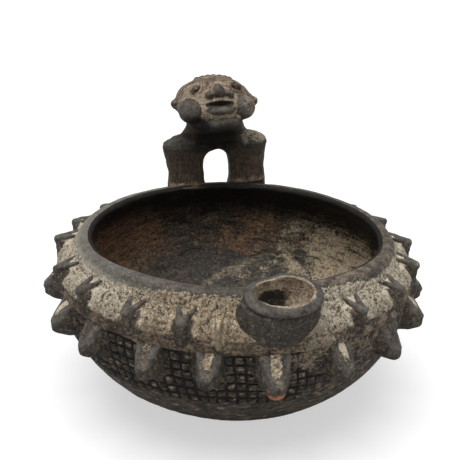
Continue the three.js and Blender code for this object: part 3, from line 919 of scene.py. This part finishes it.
def spout_hollow(p):
    """The cup inside the spout and the hole that leads from it into the bowl."""
    q = spout_frame(p)
    cup = egg(q, (-0.8, 0, 3), (SPOUT_HALF_WIDTH - SPOUT_WALL, SPOUT_HALF_DEPTH - SPOUT_WALL, 26))
    drain = roll(q, (-9, -2, -21), (-9, 20, -33), 4.5)
    return soft_min(cup + 0.5 * lumpy(p, 6, 8), drain, 2.0)


def spout_field(p):
    """The spout on the wall, hollowed out, with a crease and a groove in its side."""
    q = spout_frame(p)
    dip = 3.2 * eased(q[1], 8, 20) * eased(q[0], 6, -8)
    waver = 0.55 * lumpy(p, 13, 5) + 0.2 * lumpy(p, 3.5, 6)
    solid = stack((q[0], q[1], q[2] + dip), SPOUT_LEVELS, 2.05) + waver
    hollow = spout_hollow(p)
    form = soft_max(solid, -hollow, 2.0)
    crease = coil(q, [(22, -18, -9), (28, -10, -15), (25, -16, -25), (13, -23, -34)], 1.0)
    groove = coil(q, [(24, -16, -12), (10, -25, -15), (-12, -26, -14)], 0.5)
    form = soft_max(soft_max(form, -crease, 1.2), -groove, 1.2)
    body = wall_distance(*p)
    joined = soft_min(form, np.maximum(body + SINK, -hollow + 3.0), 4.0)
    radius = np.hypot(p[0], p[1])
    buried = np.where(radius < MOUTH_RADIUS + 1, 0.5, BURIED)
    outside = np.minimum(-(body + buried), hollow - 3.0)
    # Nothing of the spout hangs inside the bowl below its rim
    further = wall_distance(p[0] * (1 + 3 / radius), p[1] * (1 + 3 / radius), p[2])
    hanging = np.maximum.reduce([(further - body) * 2.0, p[2] - RIM + 3.0, 0.8 - body])
    return np.maximum.reduce([joined, solid - 7.0, outside, -hanging])


def spout_pieces(material, slot):
    """One skin over the whole spout, cut into the lip and the tube below it."""
    low = (SPOUT_MIDDLE[0] - 42, SPOUT_MIDDLE[1] - 40, RIM - 52)
    high = (SPOUT_MIDDLE[0] + 42, SPOUT_MIDDLE[1] + 36, RIM + 16)
    points, faces = sample(spout_field, low, high, SPOUT_VOXEL)
    out = ways_out(points, faces)
    local = np.stack(spout_frame(points.T), 1)
    x, y, z = local.T
    ring = np.hypot(x / SPOUT_HALF_WIDTH, y / SPOUT_HALF_DEPTH)
    within = eased(ring, 0.8, 0.68)
    lip = eased(z, -LIP - 0.6, -LIP + 1.2)
    mottle = mottled(points, 3.0, 1.5, 9)
    skirt = eased(wall_distance(*points.T), 1.8, 0.3) * eased(points[:, 2], LEDGE_TOP - 3, LEDGE_TOP + 2)
    skirt = skirt * eased(np.hypot(points[:, 0], points[:, 1]), NECK_RADIUS - 7, NECK_RADIUS - 3)
    carried = {
        "dust": np.maximum(skirt, within),
        # The lip's top painted lighter: rubbing wear, and painted highlight
        "rub_and_highlight": np.maximum(lip * eased(ring, 0.6, 0.75) * 0.8, eased(np.abs(ring - 0.72), 0.06, 0.0) * lip),
        # Painted shade deep in the cup, towards its front and left
        "soot": within * (eased(z + mottle * 1.2, -8.5, -11) * eased(x + mottle * 2, 9, 3)),
        "warm": within * (0.3 + 0.7 * eased(x, -4, 8)),
    }
    is_lip = local[faces].mean(1)[:, 2] > -LIP
    for name, chosen in (("spout_lip", is_lip), ("spout_tube", ~is_lip)):
        piece = shell_piece(name + "_clay", points, faces[chosen], carried, material, out)
        hand_in(piece, slot, name)


def pierce(ring, cutter):
    """Cuts the spout's hollow through a ring of the wall."""
    modifier = ring.modifiers.new("hole", "BOOLEAN")
    modifier.object = cutter
    modifier.solver = "EXACT"
    plain(ring)


def hollow_cutter():
    """The spout's hollow as a solid, a little wider than itself, so that the lining hides the cut."""
    middle, half = (*SPOUT_MIDDLE, RIM), (44, 44, 34)
    low, high = [tuple(middle[k] + sign * half[k] for k in range(3)) for sign in (-1, 1)]
    points, faces = sample(lambda p: spout_hollow(p) - CUT_WIDER, low, high, CUT_VOXEL)
    return mesh_object("hollow", points, faces)


# Figure
FIGURE_ANGLE = 8.6
FIGURE_LEAN = 3.5
FIGURE_RADIUS = MOUTH_RADIUS + 15.0
HEAD_AT = (0.0, -14.0, 83.0)
HEAD_TILT = 20.0
HEAD_TURN = 3.0
ARCH_MIDDLE = 11.5
ARCH_HALF = (13.0, 22.0)
FIGURE_VOXEL = 0.85
FIGURE_BOX = (-58, -62, -14), (58, 32, 114)


def figure_frame(p):
    """Points seen from the middle of the figure's feet, with y away from the bowl's middle."""
    x, y = swung(p[0], p[1], FIGURE_ANGLE)
    x, z = swung(x, p[2] - RIM, FIGURE_LEAN)
    return x, y - FIGURE_RADIUS, z


def out_of_figure(p):
    """The way back from the figure's frame."""
    x, z = swung(p[0], p[2], -FIGURE_LEAN)
    return *swung(x, p[1] + FIGURE_RADIUS, -FIGURE_ANGLE), z + RIM


def head_frame(q):
    return turned(q, HEAD_AT, (-HEAD_TILT, 0, HEAD_TURN))


ARM_INSIDE = 8.0

# Each section of an arm: its height, how far its outer side is from the figure's middle, its half depth
ARM_SECTIONS = (
    (-16, 49.5, 15),
    (0, 48.6, 14),
    (12, 47.4, 12),
    (25, 49.2, 11.6),
    (33, 51, 12.4),
    (38, 51.6, 12.2),
    (42, 50, 10.5),
    (45, 45.5, 8.5),
    (46.5, 38, 5.5),
)

# Where each line that is scored over the brow starts and ends
BROW_LINES = (
    ((-24, -21, 16), (-9, -27, 15)),
    ((9, -27, 14.5), (23, -21, 15)),
    ((-6, -27, 12), (-13, -26, 6)),
)


def arm_form(q, side):
    levels = [
        (z, side * (outer + ARM_INSIDE) / 2, 0, (outer - ARM_INSIDE) / 2, deep)
        for z, outer, deep in ARM_SECTIONS
    ]
    return stack(q, levels, 2.3)


def chest_form(q):
    levels = ((10, 0, 18, 9), (24, 0, 20, 9), (34, 0, 24, 10), (42, -1, 36, 11.5), (46, -2, 38, 12))
    return stack(q, [(z, 0, y, wide, deep) for z, y, wide, deep in levels], 2.3)


def neck_form(q):
    levels = (
        (44, -1.5, 37, 11.8),
        (47, -2.2, 37, 12.3),
        (50, -3.5, 33, 13.5),
        (55, -6, 30, 15.5),
        (60, -8, 28, 17),
        (70, -10.5, 26, 18),
        (80, -12, 25, 18),
    )
    return stack(q, [(z, 0, y, wide, deep) for z, y, wide, deep in levels], 2.2)


def arch_form(q):
    """The opening between the arms."""
    x, z = np.abs(q[0] / ARCH_HALF[0]), np.abs((q[2] - ARCH_MIDDLE) / ARCH_HALF[1])
    return ((x**2.6 + z**2.6) ** (1 / 2.6) - 1) * ARCH_HALF[0]


def skull_form(h):
    skull = egg(h, (-2.5, 1.5, 4), (34.2, 28.5, 20.8))
    jaw = egg(h, (-1.5, -5.5, -12), (28.0, 21.5, 17.0))
    muzzle = egg(h, (1, -21, -7), (18.0, 9.0, 11))
    form = soft_min(soft_min(skull, jaw, 10), muzzle, 5)
    for side in (-1, 1):
        socket = egg(h, (side * 19.5, -26.5, 11), (10.0, 5.0, 6.5))
        form = soft_max(form, -socket, 3.5)
    for start, end in BROW_LINES:
        form = soft_max(form, -roll(h, start, end, 0.9), 1.0)
    return form


def cheek_form(h, side):
    return egg(h, (-0.6 + side * 25.0, -16.3 + side * 0.7, -8.6), (11.4, 11.8, 11.4))


def eye_form(h, side):
    """The ball of an eye, and the lids round it."""
    q = turned(h, (-0.6 + side * 20.2, -20.8, 10.3), (-6, side * 18, side * 28))
    eyeball = egg(q, (0, 0.4, 0), (5.2, 3.7, 2.8))
    turn = np.linspace(0, 2 * math.pi, 17)
    rim = [(7.2 * math.cos(a), 0.2 + 1.8 * abs(math.cos(a)), 4.3 * math.sin(a)) for a in turn]
    return eyeball, coil(q, rim, 1.05)


def ear_form(h, side):
    tip = (-0.2 + side * 37.4, -2.5, -0.6 - side * 1.6)
    ear = roll(h, (side * 27, 0, 9), tip, 4.5, 3.0)
    for root in (2, -5, -12):
        ear = soft_min(ear, roll(h, (side * 27, 0, root), tip, 4.5, 3.0), 3.0)
    return soft_max(ear, -egg(h, (side * 34.5, -8.2, -1), (4.0, 3.2, 4.5)), 1.5)


def nose_form(h):
    bridge = roll(h, (1, -26.0, 11), (0.9, -29.5, 8), 3.0, 4.0)
    tip = ball(h, (0.9, -29.6, 6.6), 4.8)
    wings = [egg(h, (1.6 + side * 8.4, -27.6, 3.7), (5.4, 4.4, 3.8)) for side in (-1, 1)]
    nose = soft_min(soft_min(bridge, tip, 3), np.minimum(*wings), 2.4)
    for side in (-1, 1):
        nose = soft_max(nose, -egg(h, (1.6 + side * 6.8, -30.0, 0.9), (3.2, 3.2, 2.2)), 1.2)
    return nose


def lip_form(h, up):
    """The upper lip, or else the lower one, which has an edge and a full part."""
    turn = np.linspace(-1, 1, 9)
    if up:
        return coil(h, [(0.4 + 15.6 * t, -28.8 + 7.0 * t * t, -1.6 - 5.6 * t * t) for t in turn], 1.7)
    edge = [(0.6 + 15.2 * t, -29.0 + 7.0 * t * t, -9.0 + 1.0 * t * t) for t in turn]
    full = [(0.8 + 12.6 * t, -29.2 + 5.8 * t * t, -12.0 + 2.4 * t * t) for t in turn]
    return soft_min(coil(h, edge, 1.4), coil(h, full, 2.8), 1.2)


def chin_form(h):
    turn = np.linspace(-1, 1, 7)
    return coil(h, [(1 + 16 * t, -21.5 + 6.0 * t * t, -22.6 + 3.0 * t * t) for t in turn], 5.4)


def crest_form(h):
    def over(x):
        return (x, -2.0, 24.0 - ((x + 2.5) / 17.0) ** 2 * 2.8)

    ridge = coil(h, [over(x) for x in np.linspace(-16, 16, 9)], 1.7)
    knobs = [ball(h, over(x), 2.3) for x in (-15, -9.5, -4, 1.5, 7, 12, 16.5)]
    return soft_min(ridge, np.minimum.reduce(knobs), 0.8)


# The length over which each kind of piece is smoothed into the head
BLENDS = {"cheek": 2.6, "ear": 3.0, "nose": 2.2, "lip": 1.0, "crest": 1.4}
FIGURE_SLOTS = dict.fromkeys(("left_arm", "right_arm", "chest", "neck"), "soot_black_clay")
FIGURE_SLOTS |= dict.fromkeys(("left_cheek", "right_cheek", "left_eye", "right_eye"), "burnished_clay")


def figure_parts(p):
    """The forms of the figure's pieces by node name, then its lids, its chin and the head's frame."""
    h = head_frame(p)
    forms = {
        "left_arm": arm_form(p, -1),
        "right_arm": arm_form(p, 1),
        "chest": chest_form(p),
        "neck": neck_form(p),
        "head": skull_form(h),
        "nose": nose_form(h),
        "upper_lip": lip_form(h, True),
        "lower_lip": lip_form(h, False),
        "hair_crest": crest_form(h),
    }
    lids = {}
    for name, side in (("left", -1), ("right", 1)):
        forms[name + "_cheek"] = cheek_form(h, side)
        forms[name + "_ear"] = ear_form(h, side)
        eyeball, lids[name] = eye_form(h, side)
        forms[name + "_eye"] = soft_min(eyeball, lids[name], 0.7)
    return forms, lids, chin_form(h), h


def figure_field(p):
    """The whole figure, smoothed together and on to the rim."""
    forms, _, chin, h = figure_parts(p)
    arms = np.minimum(forms["left_arm"], forms["right_arm"])
    whole = soft_min(soft_min(arms, forms["chest"], 5.0), forms["neck"], 5.0)
    whole = soft_max(whole, -arch_form(p), 3.0)
    whole = soft_min(soft_min(whole, forms["head"], 3.5), chin, 2.2)
    whole = whole + 0.45 * lumpy(p, 9.0, 2)
    for name, form in forms.items():
        kind = name.split("_")[-1]
        if kind in BLENDS:
            whole = soft_min(whole, form, BLENDS[kind])
    mouth = egg(h, (1.0, -30.5, -5.4), (12.5, 5.0, 1.9))
    whole = soft_max(whole, -mouth, 1.0)
    whole = soft_min(whole, np.minimum(forms["left_eye"], forms["right_eye"]), 0.8)
    whole = whole + 0.16 * lumpy(p, 2.6, 4)
    body = wall_distance(*out_of_figure(p))
    flared = soft_min(whole, np.maximum(body + SINK, arms - 6), 3.0)
    return np.maximum(flared, -(body + 4.0))


def figure_marks(points, forms, lids, chin, h):
    """What the figure's clay carries: dust on the face and feet, wear and painted highlight on the swellings,
    painted shade under the jaw.
    """
    raised = [forms[name] for name in forms if name.split("_")[-1] in ("cheek", "nose", "crest")]
    near = np.minimum.reduce(raised + [chin, forms["lower_lip"]])
    near = np.minimum(near, np.minimum(forms["left_eye"], forms["right_eye"]) + 0.9)
    x, y, z = points.T
    mottle = mottled(points, 4.5, 2.0, 11)
    face = eased(h[1] + mottle * 4, 16, -2) * eased(near + mottle * 0.7, 0.2, 1.6)
    face = face * eased(h[2] + mottle * 2, -24, -16) * (0.5 + 0.5 * eased(near, 7, 2))
    lips = eased(forms["upper_lip"], 0.8, 0.0)
    lid_edges = eased(np.minimum(*lids.values()), 0.9, 0.3)
    foot = eased(z + mottle * 2, 9, 1) * eased(z, -1.5, 0.5)
    shoulder = eased(z, 34, 42) * eased(x, 20, 30)
    dust = np.maximum.reduce([face * 0.9, lid_edges * 0.85, lips * 0.7, foot * 0.6, shoulder * 0.5])
    mouth = egg(h, (0.6, -30.5, -5.4), (13.5, 9, 2.8))
    # Painted shade under the jaw, at the jowl, in the mouth and where the feet meet the rim
    sole = eased(y, -6, -11) * eased(z, 1.5, -1.0)
    under = eased(z + mottle * 3, 30, 42) * eased(h[2], -25, -30)
    under = under * eased(y, 12, 0) * eased(np.abs(x) + mottle * 3, 27, 15)
    jowl = eased(h[0] + mottle, -8, -12) * eased(h[2] + mottle * 2, -13, -19) * eased(h[1], 4, -4)
    # Swellings and shoulders painted lighter: rubbing wear, and painted highlight
    swollen = eased(near, 1.0, 0.0) * eased(h[1], 8, -4) * eased(h[2], -30, -24)
    brown = eased(h[2], -30, -20) * 0.45 + eased(h[2], -2, 8) * 0.35
    return {
        "dust": dust * (1 - eased(mouth, 0.8, 0.0)),
        "rub_and_highlight": swollen + eased(z, 37, 41) * eased(z, 52, 45) * 0.7,
        "soot": np.maximum.reduce([under, jowl, eased(mouth, 0.6, -0.4) * 0.5, sole]),
        "warm": np.maximum(brown, eased(z, 38, 28) * 0.9),
    }


def figure_pieces(material):
    """One skin over the whole figure, cut into pieces by the form that is nearest to each face."""
    points, faces = sample(figure_field, *FIGURE_BOX, FIGURE_VOXEL)
    out = ways_out(points, faces)
    carried = figure_marks(points, *figure_parts(points.T))
    world = np.stack(out_of_figure(points.T), 1)
    out = np.stack(out_of_figure((points + out).T), 1) - world
    forms = figure_parts(points[faces].mean(1).T)[0]
    nearest = np.argmin(np.stack(list(forms.values())), 0)
    for k, name in enumerate(forms):
        piece = shell_piece(name + "_clay", world, faces[nearest == k], carried, material, out)
        hand_in(piece, FIGURE_SLOTS.get(name, "brown_clay"), name)


# Materials
def paint(red, green, blue):
    """A colour as a screen shows it, 0 to 255, in the linear values that a shader takes."""
    shown = [v / 255 for v in (red, green, blue)]
    return *[v / 12.92 if v <= 0.04045 else ((v + 0.055) / 1.055) ** 2.4 for v in shown], 1.0


BLACK = paint(12, 11, 10)
# Soot, also the colour of painted shade in pits
SOOT_AND_SHADE = paint(34, 31, 27)
COAL = paint(52, 47, 41)
SMOKE = paint(84, 78, 70)
# Worn clay, also the colour of painted highlights and of the painted light on the left of the rim
WORN_AND_HIGHLIGHT = paint(126, 123, 116)
EARTH = paint(104, 86, 68)
UMBER = paint(62, 52, 42)
DUST = paint(160, 140, 114)
SAND = paint(216, 197, 166)
RUST = paint(138, 96, 64)
BRICK = paint(156, 112, 80)
STONE = paint(140, 130, 114)
# Chalky dust, also the colour of painted light on the left of the rim
CHALK_AND_LIGHT = paint(176, 168, 152)
PALE = paint(236, 224, 202)
TERRACOTTA = paint(190, 122, 88)
SLATE = paint(72, 73, 71)
BUMP = 0.9
GLEAM = 0.35


def painted(colour, *layers):
    """The colour under layers of paint, each given by how far it covers and its own colour."""
    for cover, paint_colour in layers:
        colour = mix(cover, colour, paint_colour)
    return colour


def pale_sides(where):
    """The stretches to the right and to the left of the bowl where the crust is paler."""
    return band(where.angle, 36.0, 100.0, 38.0), band(where.angle, -130.0, -50.0, 38.0)


def crusty(where, pale, foot, middle, small):
    """The crust's colour and its grain, paler where asked and brown along its foot.

    Foot is 1 along the foot. Middle and small are the grains that the clay round the crust has.
    """
    brown = where.grain(14.0, 4.0, 0.7)
    sandy = where.grain(1.8, 4.0, 0.75)
    curled = where.grain(3.2, 5.0, 0.72, 1.3)
    colour = painted(
        mix(ramp(sandy, -0.4, 0.3), DUST, SAND),
        (ramp(sandy + curled * 0.3 + pale * 0.7, 0.0, 0.6) * 0.85, PALE),
        (ramp(brown + sandy * 0.4 - pale * 0.3, 0.0, 0.8) * 0.65, EARTH),
        (ramp(curled + sandy * 0.2, 0.12, 0.4) * 0.92, UMBER),
        (foot * ramp(small + middle * 0.6, -0.7, 0.5) * 0.6, EARTH),
    )
    return colour, sandy - curled * 0.6


def speckled(where, colour, light, amount):
    """The colour with black pores and pale grains of a millimetre or two."""
    pores = where.grain(3.6, 5.0, 0.75, 0.8)
    grains = where.grain(3.2, 5.0, 0.8, 0.4)
    return painted(colour, (ramp(pores, 0.0, 0.4) * amount, BLACK), (ramp(grains, 0.1, 0.5) * amount, light))


def outer_wall(where):
    """The outside of the rings: burnished neck, pitted crust, incised belly and brushed base."""
    broad = where.grain(30.0, 3.0)
    middle = where.grain(8.0, 3.0, 0.6)
    small = where.grain(1.8, 4.0, 0.7)
    speck = where.grain(0.8)
    streaks = grain(where.turns, 0.9, 3.0, 0.6)
    right, left = pale_sides(where)
    belly = band(where.z, BELT, LEDGE + 1.0, 3.0)
    ledge = band(where.z, LEDGE, LEDGE_TOP, 3.0)
    neck = ramp(where.z, NECK - 3.0, NECK + 2.0)
    # The left of the rim painted lighter: chalky dust, and painted light and sheen from the left
    chalky_and_lit = neck * left * ramp(where.z, RIM + 1.0, RIM - 4.0)
    edge = ramp(where.z, RIM - 1.5, RIM + 1.0) * ramp(where.radius, MOUTH_RADIUS + 5.0, MOUTH_RADIUS + 2.0)
    crust, grit = where.carried("crust"), where.carried("grit")
    dusted = ramp(small * 0.6 + speck * 0.2 + middle * 0.8 + grit * 0.4, -0.2, 0.7)
    dusted = dusted * ramp(where.z, BELT - 40.0, LEDGE)

    fired = painted(
        mix(ramp(middle * 0.6 + small * 0.5 + streaks * 0.4, -0.8, 0.9), COAL, SMOKE),
        (ramp(broad + small * 0.4, 0.0, 1.0) * 0.5, EARTH),
        (belly * 0.75, SOOT_AND_SHADE),
    )
    fired = painted(
        speckled(where, fired, EARTH, 0.75 - neck * 0.35),
        (ramp(streaks + speck * 0.4, 0.25, 0.8) * (1.0 - neck) * 0.35, STONE),
        # Black in the low parts of the crust's nubs and of the scratches: painted shade in their hollows
        (ramp(grit, 0.0, -0.5) * 0.75, BLACK),
        (ramp(grit, 0.15, 0.6) * (0.85 - neck * 0.45), DUST),
        (ledge * ramp(small + middle * 0.5, -0.6, 0.5) * 0.6, EARTH),
        (dusted * (right * 0.5 + ledge * 0.5 + 0.12), DUST),
        # The neck painted lighter, most on the left: wear, and painted light and sheen from the left
        (neck * (left * 0.7 + 0.18) * ramp(small * 0.8 + middle * 0.3, -0.8, 0.5), WORN_AND_HIGHLIGHT),
        (chalky_and_lit * ramp(small + middle * 0.3, -1.0, 0.3) * 0.85, CHALK_AND_LIGHT),
        (edge * 0.7, STONE),
        (where.carried("brow") * 0.6, SMOKE),
    )
    foot = ramp(where.z + middle * 4.0, LEDGE_TOP + 11.0, LEDGE_TOP)
    crust_colour, sandy = crusty(where, right + left, foot, middle, small)
    crust_colour = painted(
        crust_colour,
        # Umber in the low parts of the nubs: painted shade in their hollows
        (ramp(grit, 0.05, -0.55) * 0.8, UMBER),
        # Pits painted near black: painted shade in them
        (where.carried("pit") * 0.95, SOOT_AND_SHADE),
    )
    colour = painted(
        fired,
        (ramp(crust + small * 0.45, 0.2, 0.75), crust_colour),
        # Grooves painted near black: painted shade in them
        (ramp(where.carried("groove"), 0.2, 0.8) * 0.92, BLACK),
    )
    roughness = 0.6 + crust * 0.3 + small * 0.04 - neck * (1.0 - crust) * 0.12
    return colour, roughness, small * 0.16 + speck * 0.08 + streaks * 0.1 + crust * (small + sandy) * 0.3


def inner_wall(where):
    """The inside: soot and painted shade under the rim, rust patches, a dusty side, and a smooth floor with a
    pale scrape.
    """
    streaks = grain(where.turns, 3.2, 4.0, 0.65)
    fine = grain(where.turns, 1.0, 3.0, 0.6)
    long = grain(where.turns, 6.0, 5.0, 0.7)
    broad = where.grain(26.0, 4.0, 0.6)
    middle = grain(where.stretched(0.4), 7.0, 6.0, 0.72)
    small = where.grain(2.2, 4.0, 0.8)
    slanting = where.plan.vector(where.x * 0.06, where.y * 0.06, where.z - where.x * 0.3)
    lines = grain(slanting, 2.6, 3.0, 0.7)
    mixed = streaks * 0.3 + small * 0.9 + middle * 0.4
    # The stains' places, with ragged outlines
    x = where.x + broad * 36.0 + middle * 34.0
    z = where.z + broad * 12.0 + middle * 10.0
    slate = band(x, -70.0, 60.0, 30.0) * ramp(z, 92.0, 66.0)
    red = band(x, 6.0, 30.0, 40.0) * band(z, 84.0, 106.0, 16.0) * 0.8
    red = most(red, ramp(x, -54.0, -98.0) * band(z, 78.0, 122.0, 18.0))
    red = most(red, ramp(broad + streaks * 0.5, 0.5, 1.2) * 0.6)
    dusty = band(x, 100.0, 180.0, 90.0) * band(z, 48.0, 104.0, 26.0)
    scrape = abs(where.z + middle * 3.0 + broad * 3.0 - (where.x + 38.0) * 0.41 - 45.0)
    scrape = ramp(scrape, 5.0, 0.0) * band(where.x, -24.0, 14.0, 26.0) * ramp(small + fine, -0.6, 0.8)
    kept = ramp(where.z, 116.0, 76.0) * 0.9 + ramp(x, -60.0, -95.0) * 0.4
    black = ramp(long + mixed * 0.5 + kept, 0.2, -0.5)
    # Black under the rim inside: soot, and painted shade under the rim's overhang
    soot_and_shade = ramp(where.z + long * 8.0 + middle * 5.0 + broad * 5.0, 106.0, 134.0)

    stained = painted(
        mix(ramp(streaks * 0.7 + small * 0.5, -0.9, 0.5), SOOT_AND_SHADE, SMOKE),
        (slate * 0.6, SLATE),
        (ramp(red * 0.75 + mixed * 0.9, 0.15, 1.2) * 0.9, BRICK),
        (ramp(dusty + mixed * 0.8, 0.35, 1.1) * 0.9, SAND),
        (scrape * 0.7, SAND),
    )
    colour = painted(
        speckled(where, stained, DUST, 0.7 - slate * 0.2),
        (ramp(lines, 0.3, 0.75) * 0.5, DUST),
        (ramp(lines + streaks * 0.5, -0.35, -0.9) * 0.8, BLACK),
        (black * (0.9 - slate * 0.4), BLACK),
        (soot_and_shade * (0.92 - ramp(long + mixed * 0.5, 0.3, 0.9) * 0.4), BLACK),
    )
    return colour, 0.72 + small * 0.05, streaks * 0.15 + fine * 0.1 + small * 0.15


def sculpted(where, dark, light, flecks, level=1.0, upright=0.15):
    """Handled clay: dark flanks, rubbed edges and swellings painted lighter as wear and painted highlight,
    painted shade, and crust where it carries dust.

    Level and upright stretch the combed streaks, which run along the axis with the smaller one.
    """
    middle = where.grain(7.0, 3.0, 0.6)
    small = where.grain(1.6, 4.0, 0.75)
    speck = where.grain(0.8)
    combed = grain(where.stretched(level, upright), 1.6, 3.0, 0.6)
    warm, rub_and_highlight = where.carried("warm"), where.carried("rub_and_highlight")
    handled = painted(
        mix(ramp(middle * 0.6 + small * 0.6, -0.8, 0.9), dark, light),
        (warm * ramp(combed + small * 0.3, -0.6, 0.5), EARTH),
        # Rubbed edges and swellings painted lighter: wear, and painted highlight
        (rub_and_highlight * ramp(small * 0.6 + middle * 0.8, -0.9, 0.7) * 0.55, WORN_AND_HIGHLIGHT),
    )
    right, left = pale_sides(where)
    pale = right + left + ramp(where.z, RIM + 20.0, RIM + 40.0) * 0.5
    foot = band(where.z + middle * 4.0, LEDGE_TOP - 4.0, LEDGE_TOP, 11.0)
    crust_colour, sandy = crusty(where, pale, foot, middle, small)
    covered = ramp(where.carried("dust") + small * 0.3 + middle * 0.2, 0.3, 0.75)
    colour = painted(
        speckled(where, handled, flecks, 0.6 - rub_and_highlight * 0.25),
        (ramp(combed, 0.3, 0.8) * 0.35, flecks),
        (covered * 0.92, mix(warm * 0.4, crust_colour, RUST)),
        (warm * covered * ramp(small + middle * 0.5, 0.3, -0.5) * 0.75, UMBER),
        # Painted shade where the piece carries it
        (where.carried("soot") * ramp(small + 0.8, 0.0, 0.5) * 0.95, BLACK),
        (where.carried("chip") * ramp(small + 0.8, 0.0, 0.5), TERRACOTTA),
    )
    roughness = 0.58 + small * 0.04 + covered * 0.3 - rub_and_highlight * 0.14
    return colour, roughness, small * 0.2 + speck * 0.08 + combed * 0.1 + covered * sandy * 0.3


def clay(name, build, *choices):
    """A material with colour, roughness and bump built from where a point is and what its piece carries."""
    material = bpy.data.materials.new(name)
    plan = emptied(material)
    where = Where(plan, plan.node("ShaderNodeTexCoord", output="Object"))
    colour, roughness, height = build(where, *choices)
    bump = plan.node("ShaderNodeBump", inputs={"Strength": BUMP, "Distance": MM, "Height": height})
    look = {"Base Color": colour, "Roughness": roughness, "Normal": bump, "Specular IOR Level": GLEAM}
    shader = plan.node("ShaderNodeBsdfPrincipled", inputs=look)
    plan.node("ShaderNodeOutputMaterial", inputs={"Surface": shader})
    return material


wall_clay = clay("fired_wall", outer_wall)
inside_clay = clay("stained_inside", inner_wall)
point_clay = clay("pinched_clay", sculpted, COAL, SMOKE, DUST)
spout_clay = clay("spout_clay", sculpted, COAL, SMOKE, STONE, 0.12, 0.7)
figure_clay = clay("figure_clay", sculpted, SOOT_AND_SHADE, SMOKE, EARTH)


# Assembly
RINGS = (
    ("base_bowl", "soot_black_clay", {"Crust height": 0.5}),
    ("belly_ring", "brown_clay", {}),
    ("shoulder_ring", "tan_crust", {}),
    ("rim_ring", "burnished_clay", {}),
)
cutter = hollow_cutter()
for level, (name, slot, values) in enumerate(RINGS):
    ring = wall_ring(name, level, wall_clay, inside_clay, values)
    if level > 1:
        pierce(ring, cutter)
    hand_in(ring, slot, name)
bpy.data.objects.remove(cutter)

SPURS = {
    "form": spur_form,
    "low": (-24, LEDGE_RADIUS - 20, RIM - 84),
    "high": (24, LEDGE_RADIUS + 17, RIM - 24),
    "fillet": 3.0,
    "slot": "burnished_clay",
    "voxel": 0.85,
}
BOSSES = {
    "form": boss_form,
    "low": (-18, NECK_RADIUS - 12, RIM - 38),
    "high": (18, LEDGE_RADIUS + 8, RIM - 6),
    "fillet": 2.0,
    "slot": "brown_clay",
    "voxel": 0.7,
}
for name in sorted(nodes):
    if name.startswith("spur_"):
        pinched_point(Point(name, SPUR_WIDTH), point_clay, **SPURS)
    if name.startswith("boss_"):
        pinched_point(Point(name, BOSS_WIDTH), point_clay, **BOSSES)

spout_pieces(spout_clay, "burnished_clay")
figure_pieces(figure_clay)


# Floor and light
SUN_ENERGY = 2.6
SUN_ANGLE = 48.0
SUN_FROM = Vector((-0.1, -0.2, 1.0))
FLOOR_COLOUR = (0.52, 0.52, 0.52, 1)
WHITE = (1, 1, 1, 1)
FLOOR_GLOW = 0.56
FLOOR_METRES = 8.0
SKY_LIGHT = 0.3


def make_floor():
    """A matt floor that glows for the camera alone, so that it looks as white as the photograph's."""
    bpy.ops.mesh.primitive_plane_add(size=FLOOR_METRES)
    floor = bpy.context.object
    floor.name = "floor"
    material = bpy.data.materials.new("pale_floor")
    plan = emptied(material)
    matt = plan.node("ShaderNodeBsdfDiffuse", inputs={"Color": FLOOR_COLOUR})
    seen = plan.node("ShaderNodeLightPath", output="Is Camera Ray")
    glow = plan.node("ShaderNodeEmission", inputs={"Color": WHITE, "Strength": seen * FLOOR_GLOW})
    both = plan.node("ShaderNodeAddShader", inputs={0: matt, 1: glow})
    plan.node("ShaderNodeOutputMaterial", inputs={"Surface": both})
    floor.data.materials.append(material)


def make_light():
    """A wide sun from above, and a white sky that lights the bowl less than the camera sees of it."""
    data = bpy.data.lights.new("soft_sun", "SUN")
    data.energy = SUN_ENERGY
    data.angle = math.radians(SUN_ANGLE)
    lamp = added("soft_sun", data)
    lamp.rotation_euler = (-SUN_FROM).to_track_quat("-Z", "Y").to_euler()
    world = bpy.data.worlds.new("studio")
    bpy.context.scene.world = world
    plan = emptied(world)
    seen = plan.node("ShaderNodeLightPath", output="Is Camera Ray")
    strength = seen * (1.0 - SKY_LIGHT) + SKY_LIGHT
    sky = plan.node("ShaderNodeBackground", inputs={"Color": WHITE, "Strength": strength})
    plan.node("ShaderNodeOutputWorld", inputs={"Surface": sky})


make_floor()
make_light()
bpy.context.scene.view_settings.view_transform = "Standard"
